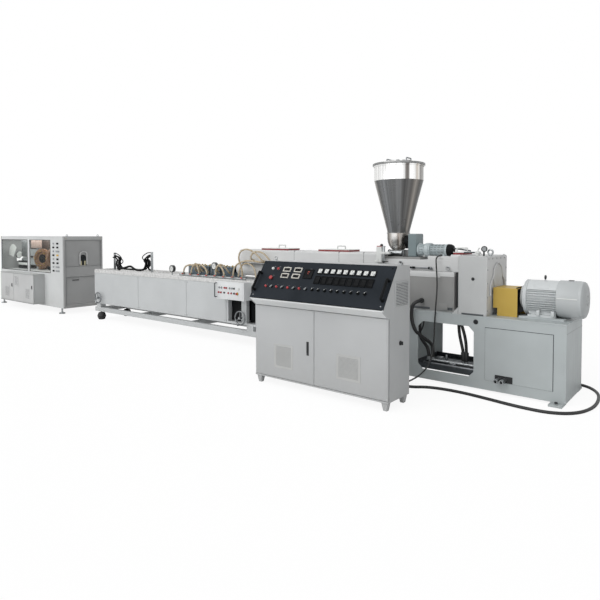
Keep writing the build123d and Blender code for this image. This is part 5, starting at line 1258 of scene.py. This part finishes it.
# mounting plates seen with the doors open: breakers, contactors, ducts and terminals
gearPlates = {"cabinet": (-2780, -1255, -1142, 170, 800, "cabinet_paint"),
              "switch_cabinet": (-11600, -10110, -440, 200, 740, "haul_paint")}
for name, (x0, x1, y, z0, z1, slot) in gearPlates.items():
    height = z1 - z0
    finishPiece(block((x0, y - 6, z0), (x1, y, z1), edge=1), name + "_gear_plate", zincPipe)
    pale, dark, grey, beige = [], [], [], []
    for share in (0.33, 0.67):
        grey.append(block((x0 + 20, y - 61, z0 + share * height - 18),
                          (x1 - 20, y - 6, z0 + share * height + 18), edge=3))
    for number in range(int((x1 - x0 - 120) / 72)):
        x, z = x0 + 60 + 72 * number, z0 + 0.84 * height
        pale.append(block((x, y - 76, z - 48), (x + 58, y - 6, z + 48), edge=3))
        dark.append(block((x + 20, y - 86, z - 10), (x + 38, y - 74, z + 14), edge=2))
    for number in range(int((x1 - x0 - 160) / 118)):
        x, z = x0 + 80 + 118 * number, z0 + 0.5 * height
        dark.append(block((x, y - 96, z - 52), (x + 84, y - 6, z + 52), edge=4))
        grey.append(block((x + 8, y - 104, z - 20), (x + 76, y - 94, z + 20), edge=3))
    for number in range(int((x1 - x0 - 100) / 24)):
        x, z = x0 + 50 + 24 * number, z0 + 0.16 * height
        beige.append(block((x, y - 52, z - 26), (x + 17, y - 6, z + 26), edge=1))
    for group, kind, material in ((pale, "breakers", whitePlastic), (dark, "contactors", mattBlack),
                                  (grey, "ducts", greyPlastic), (beige, "terminals", beigeBezel)):
        finishPiece(group, name + "_" + kind, material)
print("gear plates done")


# light, floor and background
for name, turn, strength, spread in (("keyLight", (48, 0, -22), 1.1, 50),
                                     ("fillLight", (60, 0, 62), 0.32, 90),
                                     ("lowLight", (84, 0, 6), 0.55, 60)):
    bpy.ops.object.light_add(type="SUN", rotation=[math.radians(v) for v in turn])
    lamp = bpy.context.object
    lamp.name = name
    lamp.data.energy = strength
    lamp.data.angle = math.radians(spread)
bpy.ops.object.light_add(type="AREA", location=at(-10900, 0, 1520))
insideLamp = bpy.context.object
insideLamp.name = "haulLamp"
insideLamp.data.shape = "RECTANGLE"
insideLamp.data.size, insideLamp.data.size_y = 2.2, 0.6
insideLamp.data.energy = 12
world = bpy.data.worlds.new("studio")
scene.world = world
world.use_nodes = True
tree = world.node_tree
tree.nodes.clear()
path = addNode(tree, "ShaderNodeLightPath")
seen = addNode(tree, "ShaderNodeMath", {"operation": "MAXIMUM"},
               {0: path.outputs["Is Camera Ray"], 1: path.outputs["Is Glossy Ray"]})
seenAll = addNode(tree, "ShaderNodeMath", {"operation": "MAXIMUM"},
                  {0: seen.outputs[0], 1: path.outputs["Is Transmission Ray"]})
level = rangeOf(tree, seenAll.outputs[0], 0.0, 1.0, 0.45, 1.0)
glow = addNode(tree, "ShaderNodeBackground", {"Color": (1, 1, 1, 1)}, {"Strength": level})
tree.links.new(glow.outputs[0], addNode(tree, "ShaderNodeOutputWorld").inputs["Surface"])

clearSelection()
bpy.ops.mesh.primitive_plane_add(size=120, location=(0, 0, -0.0005))
floor = bpy.context.object
floor.name = "studio_floor"
material, tree, spot = startMaterial("paleFloor")
path = addNode(tree, "ShaderNodeLightPath")
matt = addNode(tree, "ShaderNodeBsdfDiffuse", {"Color": linearColour("#f4f4f4")})
glow = addNode(tree, "ShaderNodeEmission", {"Color": (1, 1, 1, 1), "Strength": 1.05})
whiter = addNode(tree, "ShaderNodeMath", {"operation": "MULTIPLY", 1: 0.85},
                 {0: path.outputs["Is Camera Ray"]})
endMaterial(tree, addNode(tree, "ShaderNodeMixShader", None,
                          {0: whiter.outputs[0], 1: matt.outputs[0], 2: glow.outputs[0]}))
floor.data.materials.append(material)
print("light and floor set")
